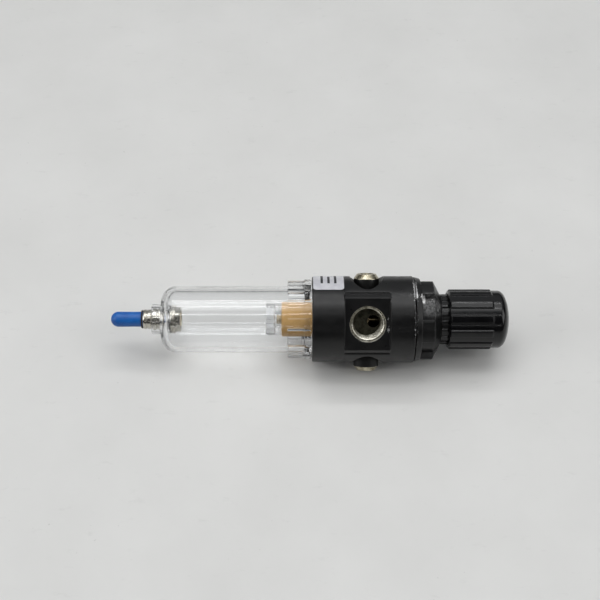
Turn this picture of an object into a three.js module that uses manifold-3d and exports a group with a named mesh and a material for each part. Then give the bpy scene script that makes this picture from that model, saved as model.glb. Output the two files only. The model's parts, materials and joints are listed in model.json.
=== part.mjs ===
// Miniature air filter-regulator, lying on its side on a flat surface. Millimetres, +Z up.
//
// Every piece is modelled in the unit's own frame: X runs along the axis from the drain to the knob with 0
// at the port axis, -Y is the outlet port, +Y the inlet port, +Z the front gauge port and -Z the rear one.
// The whole unit is then rolled about X until the body and the rear gauge plug both rest on Z = 0.

import * as THREE from "three";
import { mergeVertices } from "three/addons/utils/BufferGeometryUtils.js";
import Module from "manifold-3d";

const wasm = await Module();
wasm.setup();

// ---------------------------------------------------------------- fits and facets
const SIDES = 40; // facets round the large turned pieces
const SMALL_SIDES = 24; // facets round the small ones
const DUCT_SIDES = 16;
const FINE_SIDES = 8; // facets round the smallest holes
const RUNNING = 0.3; // gap round a piece that turns or slides
const SEAT = 0.2; // gap between fixed pieces that meet face to face
const CUT = 1; // how far a cutting tool runs past the face it opens
const TAU = 2 * Math.PI;
const degrees = THREE.MathUtils.degToRad;

// ---------------------------------------------------------------- body
const BODY_RADIUS = 16.15;
const BODY_LOW = -20.3; // bowl end of the collar
const BODY_HIGH = 17.4; // seam with the bonnet
const COLLAR_STEP = 0.2; // the collar's radius is this much less than the body's
const COLLAR_WALL = 2.75; // wall of the collar that holds the bowl's neck
const SEAM_WALL = 3.55; // wall of the body round the diaphragm
const EDGE = 0.5;

const PORT_FACE_STEP = 2.65; // how far a port face lies inside the body's radius
const PORT_THREAD_MOUTH = 6.25; // the tapered thread's radius where it starts
const PORT_THREAD_TAPER = 0.75; // what the radius loses by the port's floor
const PORT_CHAMFER = 0.6;
const PORT_CHAMFER_WIDTH = 0.5;
const PORT_FLOOR_WALL = 0.7; // between a port's floor and the outlet chamber
const PORT_MARGIN_ROUND = 2.85; // flat face beyond a port's mouth, round the body
const PORT_MARGIN_LOW = 1.75; // and along the axis, on the bowl's side
const PORT_MARGIN_HIGH = 1.5; // and on the bonnet's side
const PORT_BEVEL = 1.1;
const GROOVE_WIDTH = 1.1;
const GROOVE_DEPTH = 0.8;
const OUTLET_DUCT_RADIUS = 2.4;
const OUTLET_DUCT_SET = 0.2; // from the chamber's floor to the middle of the outlet duct
const INLET_DUCT_RADIUS = 2;
const INLET_DUCT_OVERLAP = 2.75; // how far the inlet duct runs in past the side of the port

const PLUG_RADIUS = 4.7;
const PLUG_CHAMFER_WIDTH = 1.15;
const PLUG_CHAMFER_LENGTH = 1.6;
const PLUG_SHANK_STEP = 0.5;
const PLUG_PROUD_FRONT = 0.95; // how far each plug stands out of the body's radius
const PLUG_PROUD_REAR = 2.85;
const PLUG_SOCKET_WALL = 0.95; // rim left round the six-sided socket
const PLUG_SOCKET_DEPTH = 3;
const GAUGE_POCKET_AXIAL = 1.65; // room round a plug in its oval pocket, along the axis
const GAUGE_POCKET_ROUND = 5.5; // and round the body
const GAUGE_POCKET_DEPTH = 4.55;
const GAUGE_BORE_WALL = 0.75; // between a plug's bore and the ports' threads
const GAUGE_DUCT_RADIUS = 1;
const GAUGE_DUCT_MARGIN = 0.2; // between the duct and the chamber's floor

const CHAMBER_RADIUS = 4.5; // outlet chamber under the diaphragm
const CHAMBER_FLOOR = 1.3; // ledge between the valve's bore and the chamber
const VALVE_BORE_RADIUS = 4.2;
const VALVE_BORE_HIGH = 0.9;
const THROAT_MARGIN = 0.6; // how much wider the throat is than the valve seat's bore
const PARTITION_WALL = 2; // between the port block and the bowl

const LABEL_END_GAP = 0.4; // from the label to the end of the collar
const LABEL_BLOCK_GAP = 0.1; // and to the port block
const LABEL_HALF_ANGLE = degrees(40);
const LABEL_THICKNESS = 0.2;
const LABEL_GAP = 0.06;

// ---------------------------------------------------------------- diaphragm stack and its springs
const DIAPHRAGM_THICKNESS = 0.8;
const SLIP_RING_THICKNESS = 1;
const SLIP_RING_WIDTH = 3.3;
const PLATE_MARGIN = 1; // between the plate and the slip ring
const PLATE_THICKNESS = 0.9;
const PLATE_BOSS_HEIGHT = 1.5;
const PLATE_BOSS_GAP = 0.75; // between the boss and the range spring
const RELIEF_RADIUS = 0.8;
const RELIEF_VENT_RADIUS = 0.4;
const HUB_MARGIN = 0.5; // between the hub and the chamber
const HUB_HEIGHT = 1.3;
const RANGE_WIRE = 1.4;
const RANGE_TURNS = 4;
const RANGE_SPRING_GAP = 0.49; // between the spring and the flats of its cavity

// ---------------------------------------------------------------- bonnet
const FLANGE_STEP = 0.35; // the flange's radius at the seam is this much less than the body's
const FLANGE_TAPER = 0.5; // and it narrows by this much towards the knob
const FLANGE_THICKNESS = 2.3;
const BONNET_STEP = 3.2; // the barrel's radius is this much less than the flange's
const BONNET_LENGTH = 4.7; // barrel above the flange
const BONNET_CONE_LENGTH = 2.8;
const LUG_STEP = 0.65; // how far the lugs lie inside the flange's radius
const LUG_SHORTFALL = 0.2; // how far they end before the barrel's cone starts
const LUG_COUNT = 5;
const LUG_ANGLE = degrees(32);
const LUG_START = degrees(61); // first lug, from the outlet port towards the front gauge port
const NECK_RADIUS = 8.9;
const NECK_LENGTH = 8.6;
const NECK_SIDE_WALL = 1; // at the corners of the six-sided cavity
const NECK_WALL = 2.6; // thickness of the wall that carries the screw
const SPLINE_HEIGHT = 0.45;
const SPLINE_COUNT = 18;
const SPLINE_ANGLE = degrees(8);
const SPLINE_RUNOUT = 0.2; // short slope from the cone to the neck
const SPIGOT_HEIGHT = 2;
const SPIGOT_WALL = 2.7;
const SPIGOT_BORE_DEPTH = 2; // above the flange's lower face

// ---------------------------------------------------------------- adjusting screw, nut and knob
const DRIVE_RADIUS = 2.75; // across the corners of the six-sided drive
const DRIVE_LENGTH = 8.8;
const SCREW_STEP = 0.25; // the screw's radius is this much less than the drive's
const SCREW_PLATE_GAP = 1.6; // between the screw and the diaphragm plate's boss
const SCREW_FLANGE_WIDTH = 2.7;
const SCREW_FLANGE_THICKNESS = 1.2;
const THRUST_WASHER_THICKNESS = 0.9;
const CLIP_WIDTH = 1.9; // what the clip stands out of the screw
const CLIP_THICKNESS = 0.7;
const CLIP_GROOVE_DEPTH = 0.4;
const NUT_THICKNESS = 3;
const NUT_THREAD_GAP = 0.15;

const KNOB_GAP = 0.45; // between the splines and the knob's bore
const KNOB_WALL = 0.95;
const KNOB_RIB_HEIGHT = 0.45;
const KNOB_RIB_COUNT = 12;
const KNOB_RIB_ANGLE = degrees(15);
const KNOB_RIB_END = 6.8; // from the ribs' end to the top of the knob
const KNOB_DOME_HEIGHT = 4.3;
const KNOB_DOME = [
  [2, 1.5], // points of the dome: down from its top, in from its side
  [0.8, 3.76],
];
const KNOB_TOP_WALL = 4.8; // above the drive's socket
const KNOB_CHAMFER = 0.5;
const KNOB_PUSH = 2.2; // push-to-lock travel
const KNOB_PUSH_GAP = 0.4; // what is left under the knob once it is pushed
const KNOB_TOOTH_LENGTH = 2;

// ---------------------------------------------------------------- valve
const VALVE_SEAT_THICKNESS = 1.1;
const VALVE_SEAT_BORE = 2;
const POPPET_GAP = 0.7; // between the poppet and the valve's bore
const POPPET_THICKNESS = 2.9;
const POPPET_SEAL_THICKNESS = 0.7;
const VALVE_PIN_RADIUS = 1;
const VALVE_TAIL = 0.9; // how far the pin runs into the stud
const GUIDE_THICKNESS = 1.8;
const GUIDE_HOLES = 3;
const GUIDE_HOLE_WALL = 0.375;
const VALVE_WIRE = 0.5;
const VALVE_TURNS = 4;
const VALVE_SPRING_GAP = 1.15; // between the spring and the valve's bore

// ---------------------------------------------------------------- filter
const FILTER_RADIUS = 6.45;
const FILTER_WALL = 2.05;
const FILTER_LENGTH = 20.9;
const STUD_RADIUS = 1.85;
const STUD_END = 0.6; // how far the stud stays inside the baffle's disc
const STUD_BORE_DEPTH = 2.4;
const BAFFLE_STEP = 0.5; // the baffle's radius is this much less than the filter's
const BAFFLE_THICKNESS = 2.4;
const BAFFLE_SKIRT = 3.2;
const BAFFLE_SKIRT_WALL = 0.8;
const DEFLECTOR_GAP = 0.5; // between the deflector and the bowl's neck
const DEFLECTOR_THICKNESS = 2.2;
const DEFLECTOR_SLOTS = 8;
const DEFLECTOR_SLOT_WIDTH = 1.4;
const DEFLECTOR_WEB = 0.7; // ring left inside the slots
const DEFLECTOR_SLANT = degrees(20);

// ---------------------------------------------------------------- bowl
const NECK_THREAD_WALL = 2.3;
const NECK_END_GAP = 1.7; // between the bowl's neck and the partition
const BOWL_STEP = 0.2; // the bowl's bore is this much less than its neck's
const BOWL_WALL = 2;
const BOWL_END = -76.5; // outer face of the closed end
const BOWL_END_WALL = 2.2;
const BOWL_END_FLAT = 1.45; // flat ring round the drain's boss
const BOWL_FLANGE_STEP = 1.05; // the flange's radius is this much less than the collar's
const BOWL_FLANGE_THICKNESS = 2.5;
const RIM_STEP = 0.45; // and the rim's this much less than the flange's
const RIM_LENGTH = 6.2;
const RIM_NOTCHES = 8;
const RIM_NOTCH_ANGLE = degrees(17);
const RIM_NOTCH_STEP = 0.6; // from the bowl's side to a notch's floor
const O_RING_SECTION = 0.65; // radius of the rubber's round section
const O_RING_SET = 1.1; // from the end of the collar to the middle of the O-ring
const BOSS_WALL = 1.4;
const BOSS_LENGTH = 3.6;

// ---------------------------------------------------------------- drain
const DRAIN_CAP_RADIUS = 2.85;
const DRAIN_CAP_LENGTH = 12.3; // outside the drain body
const DRAIN_CAP_INSERT = 0.7; // inside it
const DRAIN_PUSH = 1.2; // push-to-drain travel
const DRAIN_HEAD_WALL = 0.65;
const DRAIN_HEAD_LENGTH = 2.9;
const DRAIN_NECK_STEP = 0.4; // the groove's radius is this much less than the head's
const DRAIN_NECK_WIDTH = 0.7;
const DRAIN_SHANK_STEP = 0.75; // and the shank's this much more than the groove's
const DRAIN_THREAD_STEP = 0.65; // and the thread's this much less than the shank's
const DRAIN_NUT_OVERRUN = 2.4; // how far the nut runs past the drain body, round the stem's head
const DRAIN_NUT_WIDTH = 1.3; // what the nut stands out of the shank
const DRAIN_NUT_THICKNESS = 4;
const DRAIN_NUT_COLLAR = 2.4; // length of the nut's larger part
const DRAIN_GASKET_THICKNESS = 0.5;
const DRAIN_STEM_RADIUS = 1.1;
const DRAIN_STEM_GAP = 0.4;
const DRAIN_STEM_HEAD_WIDTH = 0.9; // what the head covers round the stem's bore
const DRAIN_STEM_HEAD = 1;
const DRAIN_SEAL_THICKNESS = 0.9;
const DRAIN_COLLAR_LENGTH = 0.6;
const DRAIN_COLLAR_STEP = 0.3; // the collar's radius is this much less than the head's
const DRAIN_WIRE = 0.4;
const DRAIN_TURNS = 6;
const DRAIN_SPRING_GAP = 0.45; // between the stem and the spring
const DRAIN_SPRING_ROOM = 0.25; // between the spring and its bore
const DRAIN_SPRING_SET = 0.5; // from the bowl's end to the spring's seat

// ---------------------------------------------------------------- radii worked out from the sizes
const COLLAR_RADIUS = BODY_RADIUS - COLLAR_STEP;
const BOWL_BORE_RADIUS = COLLAR_RADIUS - COLLAR_WALL;
const DIAPHRAGM_BORE_RADIUS = BODY_RADIUS - SEAM_WALL;
const PORT_THREAD_END = PORT_THREAD_MOUTH - PORT_THREAD_TAPER;
const PORT_MOUTH_RADIUS = PORT_THREAD_MOUTH + PORT_CHAMFER_WIDTH;
const PORT_FACE = BODY_RADIUS - PORT_FACE_STEP; // distances from the axis
const PORT_FLOOR = CHAMBER_RADIUS + PORT_FLOOR_WALL;
const PORT_FACE_HALF = PORT_MOUTH_RADIUS + PORT_MARGIN_ROUND;
const BOSS_HALF = PORT_FACE_HALF + PORT_BEVEL;
const BEVEL_FOOT = Math.sqrt(BODY_RADIUS ** 2 - BOSS_HALF ** 2);
const THROAT_RADIUS = VALVE_SEAT_BORE + THROAT_MARGIN;

const PLUG_RIM_RADIUS = PLUG_RADIUS - PLUG_CHAMFER_WIDTH;
const PLUG_SHANK_RADIUS = PLUG_RADIUS - PLUG_SHANK_STEP;
const PLUG_SOCKET_RADIUS = PLUG_RIM_RADIUS - PLUG_SOCKET_WALL;
const PLUG_REACH_FRONT = BODY_RADIUS + PLUG_PROUD_FRONT;
const PLUG_REACH_REAR = BODY_RADIUS + PLUG_PROUD_REAR;
const GAUGE_POCKET_FLOOR = BODY_RADIUS - GAUGE_POCKET_DEPTH;
const GAUGE_BORE_END = PORT_THREAD_MOUTH + GAUGE_BORE_WALL;

const SPIGOT_RADIUS = DIAPHRAGM_BORE_RADIUS - RUNNING;
const SPIGOT_BORE_RADIUS = SPIGOT_RADIUS - SPIGOT_WALL;
const SLIP_RING_BORE = SPIGOT_RADIUS - SLIP_RING_WIDTH;
const PLATE_RADIUS = SLIP_RING_BORE - PLATE_MARGIN;
const HUB_RADIUS = CHAMBER_RADIUS - HUB_MARGIN;
const FLANGE_RADIUS = BODY_RADIUS - FLANGE_STEP;
const BONNET_RADIUS = FLANGE_RADIUS - BONNET_STEP;
const LUG_RADIUS = FLANGE_RADIUS - LUG_STEP;
const SPLINE_RADIUS = NECK_RADIUS + SPLINE_HEIGHT;
const SPRING_CAVITY_RADIUS = NECK_RADIUS - NECK_SIDE_WALL; // across the corners of its six sides
const SPRING_CAVITY_FLAT = SPRING_CAVITY_RADIUS * Math.cos(Math.PI / 6);
const RANGE_SPRING_RADIUS = SPRING_CAVITY_FLAT - RANGE_SPRING_GAP - RANGE_WIRE / 2;
const PLATE_BOSS_RADIUS = RANGE_SPRING_RADIUS - RANGE_WIRE / 2 - PLATE_BOSS_GAP;

const SCREW_RADIUS = DRIVE_RADIUS - SCREW_STEP;
const SCREW_FLANGE_RADIUS = SCREW_RADIUS + SCREW_FLANGE_WIDTH;
const CLIP_RADIUS = SCREW_RADIUS + CLIP_WIDTH;
const CLIP_GROOVE_RADIUS = SCREW_RADIUS - CLIP_GROOVE_DEPTH;
const KNOB_BORE_RADIUS = SPLINE_RADIUS + KNOB_GAP;
const KNOB_RADIUS = KNOB_BORE_RADIUS + KNOB_WALL;
const KNOB_RIB_RADIUS = KNOB_RADIUS + KNOB_RIB_HEIGHT;

const POPPET_RADIUS = VALVE_BORE_RADIUS - POPPET_GAP;
const VALVE_SPRING_RADIUS = VALVE_BORE_RADIUS - VALVE_SPRING_GAP - VALVE_WIRE / 2;
const GUIDE_RADIUS = VALVE_BORE_RADIUS - SEAT;
const GUIDE_BORE_RADIUS = STUD_RADIUS + SEAT;
const GUIDE_HOLES_AT = (GUIDE_RADIUS + GUIDE_BORE_RADIUS) / 2;
const GUIDE_HOLE_RADIUS = (GUIDE_RADIUS - GUIDE_BORE_RADIUS) / 2 - GUIDE_HOLE_WALL;
const FILTER_BORE_RADIUS = FILTER_RADIUS - FILTER_WALL;
const BAFFLE_RADIUS = FILTER_RADIUS - BAFFLE_STEP;
const DEFLECTOR_BORE_RADIUS = FILTER_RADIUS + RUNNING;

const DRAIN_HEAD_BORE = DRAIN_CAP_RADIUS + SEAT;
const DRAIN_HEAD_RADIUS = DRAIN_HEAD_BORE + DRAIN_HEAD_WALL;
const DRAIN_NECK_RADIUS = DRAIN_HEAD_RADIUS - DRAIN_NECK_STEP;
const DRAIN_SHANK_RADIUS = DRAIN_NECK_RADIUS + DRAIN_SHANK_STEP;
const DRAIN_THREAD_RADIUS = DRAIN_SHANK_RADIUS - DRAIN_THREAD_STEP;
const DRAIN_NUT_RADIUS = DRAIN_SHANK_RADIUS + DRAIN_NUT_WIDTH;
const DRAIN_COLLAR_RADIUS = DRAIN_HEAD_RADIUS - DRAIN_COLLAR_STEP;
const DRAIN_SPRING_RADIUS = DRAIN_STEM_RADIUS + DRAIN_SPRING_GAP + DRAIN_WIRE / 2;
const DRAIN_SPRING_BORE = DRAIN_SPRING_RADIUS + DRAIN_WIRE / 2 + DRAIN_SPRING_ROOM;
const DRAIN_STEM_BORE = DRAIN_STEM_RADIUS + DRAIN_STEM_GAP;
const DRAIN_STEM_HEAD_RADIUS = DRAIN_STEM_BORE + DRAIN_STEM_HEAD_WIDTH;
const DRAIN_HOLE_RADIUS = DRAIN_SHANK_RADIUS + SEAT;

const NECK_THREAD_RADIUS = BOWL_BORE_RADIUS - RUNNING;
const BOWL_NECK_BORE = NECK_THREAD_RADIUS - NECK_THREAD_WALL;
const DEFLECTOR_RADIUS = BOWL_NECK_BORE - DEFLECTOR_GAP;
const BOWL_BORE = BOWL_NECK_BORE - BOWL_STEP;
const BOWL_RADIUS = BOWL_BORE + BOWL_WALL;
const BOSS_RADIUS = DRAIN_HOLE_RADIUS + BOSS_WALL;
const BOWL_CORNER = BOWL_RADIUS - BOSS_RADIUS - BOWL_END_FLAT;
const BOWL_FLANGE_RADIUS = COLLAR_RADIUS - BOWL_FLANGE_STEP;
const RIM_RADIUS = BOWL_FLANGE_RADIUS - RIM_STEP;
const RIM_NOTCH_FLOOR = BOWL_RADIUS + RIM_NOTCH_STEP;

// ---------------------------------------------------------------- places along the axis
// The unit lies on a facet of its body and on the rim of the rear gauge plug.
const REST_RADIUS = BODY_RADIUS * Math.cos(Math.PI / SIDES);
const ROLL =
  Math.atan2(PLUG_RIM_RADIUS, PLUG_REACH_REAR) +
  Math.acos(REST_RADIUS / Math.hypot(PLUG_REACH_REAR, PLUG_RIM_RADIUS));
const FACET_TURN = ROLL + Math.PI / SIDES; // puts a facet of the body underneath

const BLOCK_LOW = -PORT_MOUTH_RADIUS - PORT_MARGIN_LOW; // the port block's two ends
const BLOCK_HIGH = PORT_MOUTH_RADIUS + PORT_MARGIN_HIGH;
const PARTITION_LOW = BLOCK_LOW - PARTITION_WALL; // the partition's face towards the bowl
const LABEL_LOW = BODY_LOW + LABEL_END_GAP;
const LABEL_HIGH = BLOCK_LOW - LABEL_BLOCK_GAP;
const CHAMBER_LOW = VALVE_BORE_HIGH + CHAMBER_FLOOR;
const GAUGE_DUCT_AT = CHAMBER_LOW + GAUGE_DUCT_RADIUS + GAUGE_DUCT_MARGIN;

const FLANGE_LOW = BODY_HIGH + SEAT;
const FLANGE_HIGH = FLANGE_LOW + FLANGE_THICKNESS;
const SPIGOT_LOW = FLANGE_LOW - SPIGOT_HEIGHT - SEAT;
const SPIGOT_BORE_HIGH = FLANGE_LOW + SPIGOT_BORE_DEPTH;
const SLIP_RING_LOW = SPIGOT_LOW - SEAT - SLIP_RING_THICKNESS;
const DIAPHRAGM_HIGH = SLIP_RING_LOW - SEAT;
const DIAPHRAGM_LOW = DIAPHRAGM_HIGH - DIAPHRAGM_THICKNESS;
const DIAPHRAGM_FLOOR = DIAPHRAGM_LOW - SEAT;
const PLATE_LOW = DIAPHRAGM_HIGH + SEAT;
const PLATE_HIGH = PLATE_LOW + PLATE_THICKNESS;
const PLATE_BOSS_HIGH = PLATE_HIGH + PLATE_BOSS_HEIGHT;
const HUB_HIGH = DIAPHRAGM_LOW - SEAT;
const HUB_LOW = HUB_HIGH - HUB_HEIGHT;

const BONNET_CONE_LOW = FLANGE_HIGH + BONNET_LENGTH;
const BONNET_SHOULDER = BONNET_CONE_LOW + BONNET_CONE_LENGTH;
const LUG_HIGH = BONNET_CONE_LOW - LUG_SHORTFALL;
const SPLINE_HIGH = BONNET_SHOULDER + KNOB_PUSH + KNOB_PUSH_GAP;
const NECK_HIGH = BONNET_SHOULDER + NECK_LENGTH;
const NECK_WALL_LOW = NECK_HIGH - NECK_WALL;
const THRUST_WASHER_LOW = NECK_WALL_LOW - SEAT - THRUST_WASHER_THICKNESS;
const SCREW_LOW = PLATE_BOSS_HIGH + SCREW_PLATE_GAP;
const SCREW_FLANGE_LOW = THRUST_WASHER_LOW - SEAT - SCREW_FLANGE_THICKNESS;
const NUT_HIGH = SCREW_FLANGE_LOW - RUNNING;
const NUT_LOW = NUT_HIGH - NUT_THICKNESS;
const CLIP_LOW = NECK_HIGH + RUNNING;
const CLIP_HIGH = CLIP_LOW + CLIP_THICKNESS;
const DRIVE_LOW = CLIP_HIGH + SEAT;
const DRIVE_HIGH = DRIVE_LOW + DRIVE_LENGTH;
const KNOB_LOW = SPLINE_HIGH + SEAT;
const KNOB_BORE_HIGH = CLIP_HIGH + KNOB_PUSH + RUNNING;
const DRIVE_SOCKET_HIGH = DRIVE_HIGH + KNOB_PUSH + RUNNING;
const KNOB_TOP = DRIVE_SOCKET_HIGH + KNOB_TOP_WALL;

const VALVE_SEAT_HIGH = VALVE_BORE_HIGH - SEAT;
const VALVE_SEAT_LOW = VALVE_SEAT_HIGH - VALVE_SEAT_THICKNESS;
const POPPET_SEAL_HIGH = VALVE_SEAT_LOW - SEAT;
const POPPET_SEAL_LOW = POPPET_SEAL_HIGH - POPPET_SEAL_THICKNESS;
const POPPET_HIGH = POPPET_SEAL_LOW - SEAT;
const POPPET_LOW = POPPET_HIGH - POPPET_THICKNESS;
const GUIDE_LOW = PARTITION_LOW + SEAT;
const GUIDE_HIGH = GUIDE_LOW + GUIDE_THICKNESS;
const STUD_HIGH = GUIDE_HIGH - SEAT;
const VALVE_TAIL_LOW = STUD_HIGH - VALVE_TAIL;

const DEFLECTOR_HIGH = PARTITION_LOW - SEAT;
const DEFLECTOR_LOW = DEFLECTOR_HIGH - DEFLECTOR_THICKNESS;
const FILTER_HIGH = PARTITION_LOW - SEAT;
const FILTER_LOW = FILTER_HIGH - FILTER_LENGTH;
const BAFFLE_HIGH = FILTER_LOW - SEAT;
const BAFFLE_LOW = BAFFLE_HIGH - BAFFLE_THICKNESS;
const STUD_LOW = BAFFLE_LOW + STUD_END;

const BOWL_NECK_HIGH = PARTITION_LOW - NECK_END_GAP;
const O_RING_AT = BODY_LOW + O_RING_SET;
const BOWL_FLANGE_HIGH = BODY_LOW - RUNNING;
const RIM_HIGH = BOWL_FLANGE_HIGH - BOWL_FLANGE_THICKNESS;
const RIM_LOW = RIM_HIGH - RIM_LENGTH;
const BOSS_LOW = BOWL_END - BOSS_LENGTH;
const BOWL_FLOOR = BOWL_END + BOWL_END_WALL;

const DRAIN_HEAD_HIGH = BOSS_LOW - RUNNING;
const DRAIN_LOW = DRAIN_HEAD_HIGH - DRAIN_HEAD_LENGTH;
const DRAIN_CAP_TIP = DRAIN_LOW - DRAIN_CAP_LENGTH;
const DRAIN_CAP_HIGH = DRAIN_LOW + DRAIN_CAP_INSERT;
const DRAIN_SPRING_SEAT = BOWL_END + DRAIN_SPRING_SET;
const DRAIN_GASKET_LOW = BOWL_FLOOR + SEAT;
const DRAIN_NUT_LOW = DRAIN_GASKET_LOW + DRAIN_GASKET_THICKNESS + SEAT;
const DRAIN_NUT_HIGH = DRAIN_NUT_LOW + DRAIN_NUT_THICKNESS;
const DRAIN_HIGH = DRAIN_NUT_HIGH - DRAIN_NUT_OVERRUN; // inner end of the drain body
const DRAIN_SEAL_LOW = DRAIN_HIGH + SEAT;
const DRAIN_STEM_HEAD_LOW = DRAIN_SEAL_LOW + DRAIN_SEAL_THICKNESS + SEAT;

// ---------------------------------------------------------------- solids from three.js geometry
const MERGE_DISTANCE = 1e-4;

/** A closed three.js geometry as a manifold solid whose faces point out. */
function solidFrom(geometry) {
  const bare = new THREE.BufferGeometry();
  bare.setAttribute("position", geometry.getAttribute("position"));
  bare.setIndex(geometry.index);
  const merged = mergeVertices(bare, MERGE_DISTANCE);
  const corners = merged.index.array;
  const faces = [];
  for (let i = 0; i < corners.length; i += 3) {
    const [a, b, c] = [corners[i], corners[i + 1], corners[i + 2]];
    if (a !== b && b !== c && c !== a) faces.push([a, b, c]);
  }
  const points = merged.attributes.position.array;
  const solid = manifold(points, faces);
  return solid.volume() > 0 ? solid : manifold(points, faces.map(([a, b, c]) => [a, c, b]));
}

function manifold(points, faces) {
  const mesh = new wasm.Mesh({
    numProp: 3,
    vertProperties: new Float32Array(points),
    triVerts: new Uint32Array(faces.flat()),
  });
  return new wasm.Manifold(mesh);
}

/** A piece turned about X. The outline is a list of [x, radius] that starts and ends on the axis. */
function turned(outline, sides = SIDES) {
  const points = outline.map(([x, radius]) => new THREE.Vector2(radius, x));
  return solidFrom(new THREE.LatheGeometry(points, sides).rotateZ(-Math.PI / 2));
}

/** A turned piece whose outline doesn't reach the axis: the last point joins the first. */
function turnedLoop(outline, sides = SIDES) {
  return turned([...outline, outline[0]], sides);
}

function rod(low, high, radius, sides = SIDES) {
  return turned([[low, 0], [low, radius], [high, radius], [high, 0]], sides);
}

function tube(low, high, bore, radius, sides = SIDES) {
  return turnedLoop([[low, bore], [low, radius], [high, radius], [high, bore]], sides);
}

/** An outline of [y, z] points carried along X from low to high. */
function prism(outline, low, high) {
  const shape = new THREE.Shape(outline.map(([y, z]) => new THREE.Vector2(-z, y)));
  const geometry = new THREE.ExtrudeGeometry(shape, { depth: high - low, bevelEnabled: false });
  return solidFrom(toIndexed(geometry.rotateY(Math.PI / 2).translate(low, 0, 0)));
}

function toIndexed(geometry) {
  const count = geometry.getAttribute("position").count;
  if (!geometry.index) geometry.setIndex(Array.from({ length: count }, (_, i) => i));
  return geometry;
}

function block(low, high) {
  const size = high.map((v, i) => v - low[i]);
  const centre = high.map((v, i) => (v + low[i]) / 2);
  return solidFrom(new THREE.BoxGeometry(...size).translate(...centre));
}

/** A sector of a ring about X, centred on an angle from -Y (outlet port) towards +Z (front gauge port). */
function sector(low, high, bore, radius, centre, width, steps = 4) {
  const arc = (r, from, to) =>
    Array.from({ length: steps + 1 }, (_, i) => {
      const angle = from + ((to - from) * i) / steps;
      return [-r * Math.cos(angle), r * Math.sin(angle)];
    });
  const [from, to] = [centre - width / 2, centre + width / 2];
  return prism([...arc(radius, from, to), ...arc(bore, to, from)], low, high);
}

/** A round bar bent along a helix about X. */
function spring(low, high, radius, wire, turns, stepsPerTurn = 14, wireSides = 6) {
  const reach = high - low - wire;
  class Helix extends THREE.Curve {
    getPoint(t) {
      const angle = TAU * turns * t;
      const x = low + wire / 2 + reach * t;
      return new THREE.Vector3(x, radius * Math.sin(angle), radius * Math.cos(angle));
    }
  }
  const ring = Array.from({ length: wireSides }, (_, i) => {
    const angle = (TAU * i) / wireSides;
    return new THREE.Vector2((wire / 2) * Math.cos(angle), (wire / 2) * Math.sin(angle));
  });
  const geometry = new THREE.ExtrudeGeometry(new THREE.Shape(ring), {
    steps: Math.round(turns * stepsPerTurn),
    extrudePath: new Helix(),
    bevelEnabled: false,
  });
  return solidFrom(toIndexed(geometry));
}

function moved(solid, matrix) {
  return solid.transform(matrix.elements);
}

const TOWARDS = {
  outlet: new THREE.Matrix4().makeRotationZ(-Math.PI / 2), // +X turned to -Y
  inlet: new THREE.Matrix4().makeRotationZ(Math.PI / 2),
  front: new THREE.Matrix4().makeRotationY(-Math.PI / 2), // +X turned to +Z
  rear: new THREE.Matrix4().makeRotationY(Math.PI / 2),
};

function sum(solids) {
  return solids.reduce((whole, piece) => whole.add(piece));
}

function cut(solid, tools) {
  return tools.reduce((rest, tool) => rest.subtract(tool), solid);
}

function around(count, make) {
  return Array.from({ length: count }, (_, i) => make((TAU * i) / count));
}

// ---------------------------------------------------------------- materials
function finish(color, roughness, metalness, opacity = 1) {
  return new THREE.MeshStandardMaterial({
    color,
    roughness,
    metalness,
    opacity,
    transparent: opacity < 1,
  });
}

const castBlack = () => finish(0x1c1c1e, 0.5, 0.3);
const plasticBlack = () => finish(0x111113, 0.4, 0);
const rubberBlack = () => finish(0x17171a, 0.8, 0);
const clearPlastic = () => finish(0xe8ecee, 0.1, 0, 0.3);
const nickel = () => finish(0xb9b2a6, 0.25, 1);
const brass = () => finish(0xb08d4c, 0.3, 1);
const steel = () => finish(0x9a9c9e, 0.35, 1);
const blueVinyl = () => finish(0x1a56b8, 0.45, 0);
const sintered = () => finish(0xac8852, 0.9, 0.2);
const labelFilm = () => finish(0xd5d5dc, 0.4, 0.1);
const acetal = () => finish(0xe2e0d8, 0.5, 0);

// ---------------------------------------------------------------- body
function portBore(direction) {
  const profile = [
    [PORT_FLOOR, 0],
    [PORT_FLOOR, PORT_THREAD_END],
    [PORT_FACE - PORT_CHAMFER, PORT_THREAD_MOUTH],
    [PORT_FACE, PORT_MOUTH_RADIUS],
    [PORT_FACE + CUT, PORT_MOUTH_RADIUS],
    [PORT_FACE + CUT, 0],
  ];
  return moved(turned(profile, SMALL_SIDES), direction);
}

function gaugeBore(direction) {
  const shank = rod(GAUGE_BORE_END, BODY_RADIUS + CUT, PLUG_RADIUS + SEAT, SMALL_SIDES);
  const duct = rod(0, GAUGE_BORE_END + CUT, GAUGE_DUCT_RADIUS, FINE_SIDES);
  const intoChamber = new THREE.Matrix4().makeTranslation(GAUGE_DUCT_AT, 0, 0);
  const pocket = new THREE.CylinderGeometry(1, 1, BODY_RADIUS, SIDES)
    .rotateX(Math.PI / 2)
    .scale(PLUG_RADIUS + GAUGE_POCKET_AXIAL, PLUG_RADIUS + GAUGE_POCKET_ROUND, 1)
    .translate(0, 0, GAUGE_POCKET_FLOOR + BODY_RADIUS / 2);
  if (direction === TOWARDS.rear) pocket.rotateX(Math.PI);
  return [
    moved(shank, direction),
    moved(moved(duct, direction), intoChamber),
    solidFrom(pocket),
  ];
}

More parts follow.
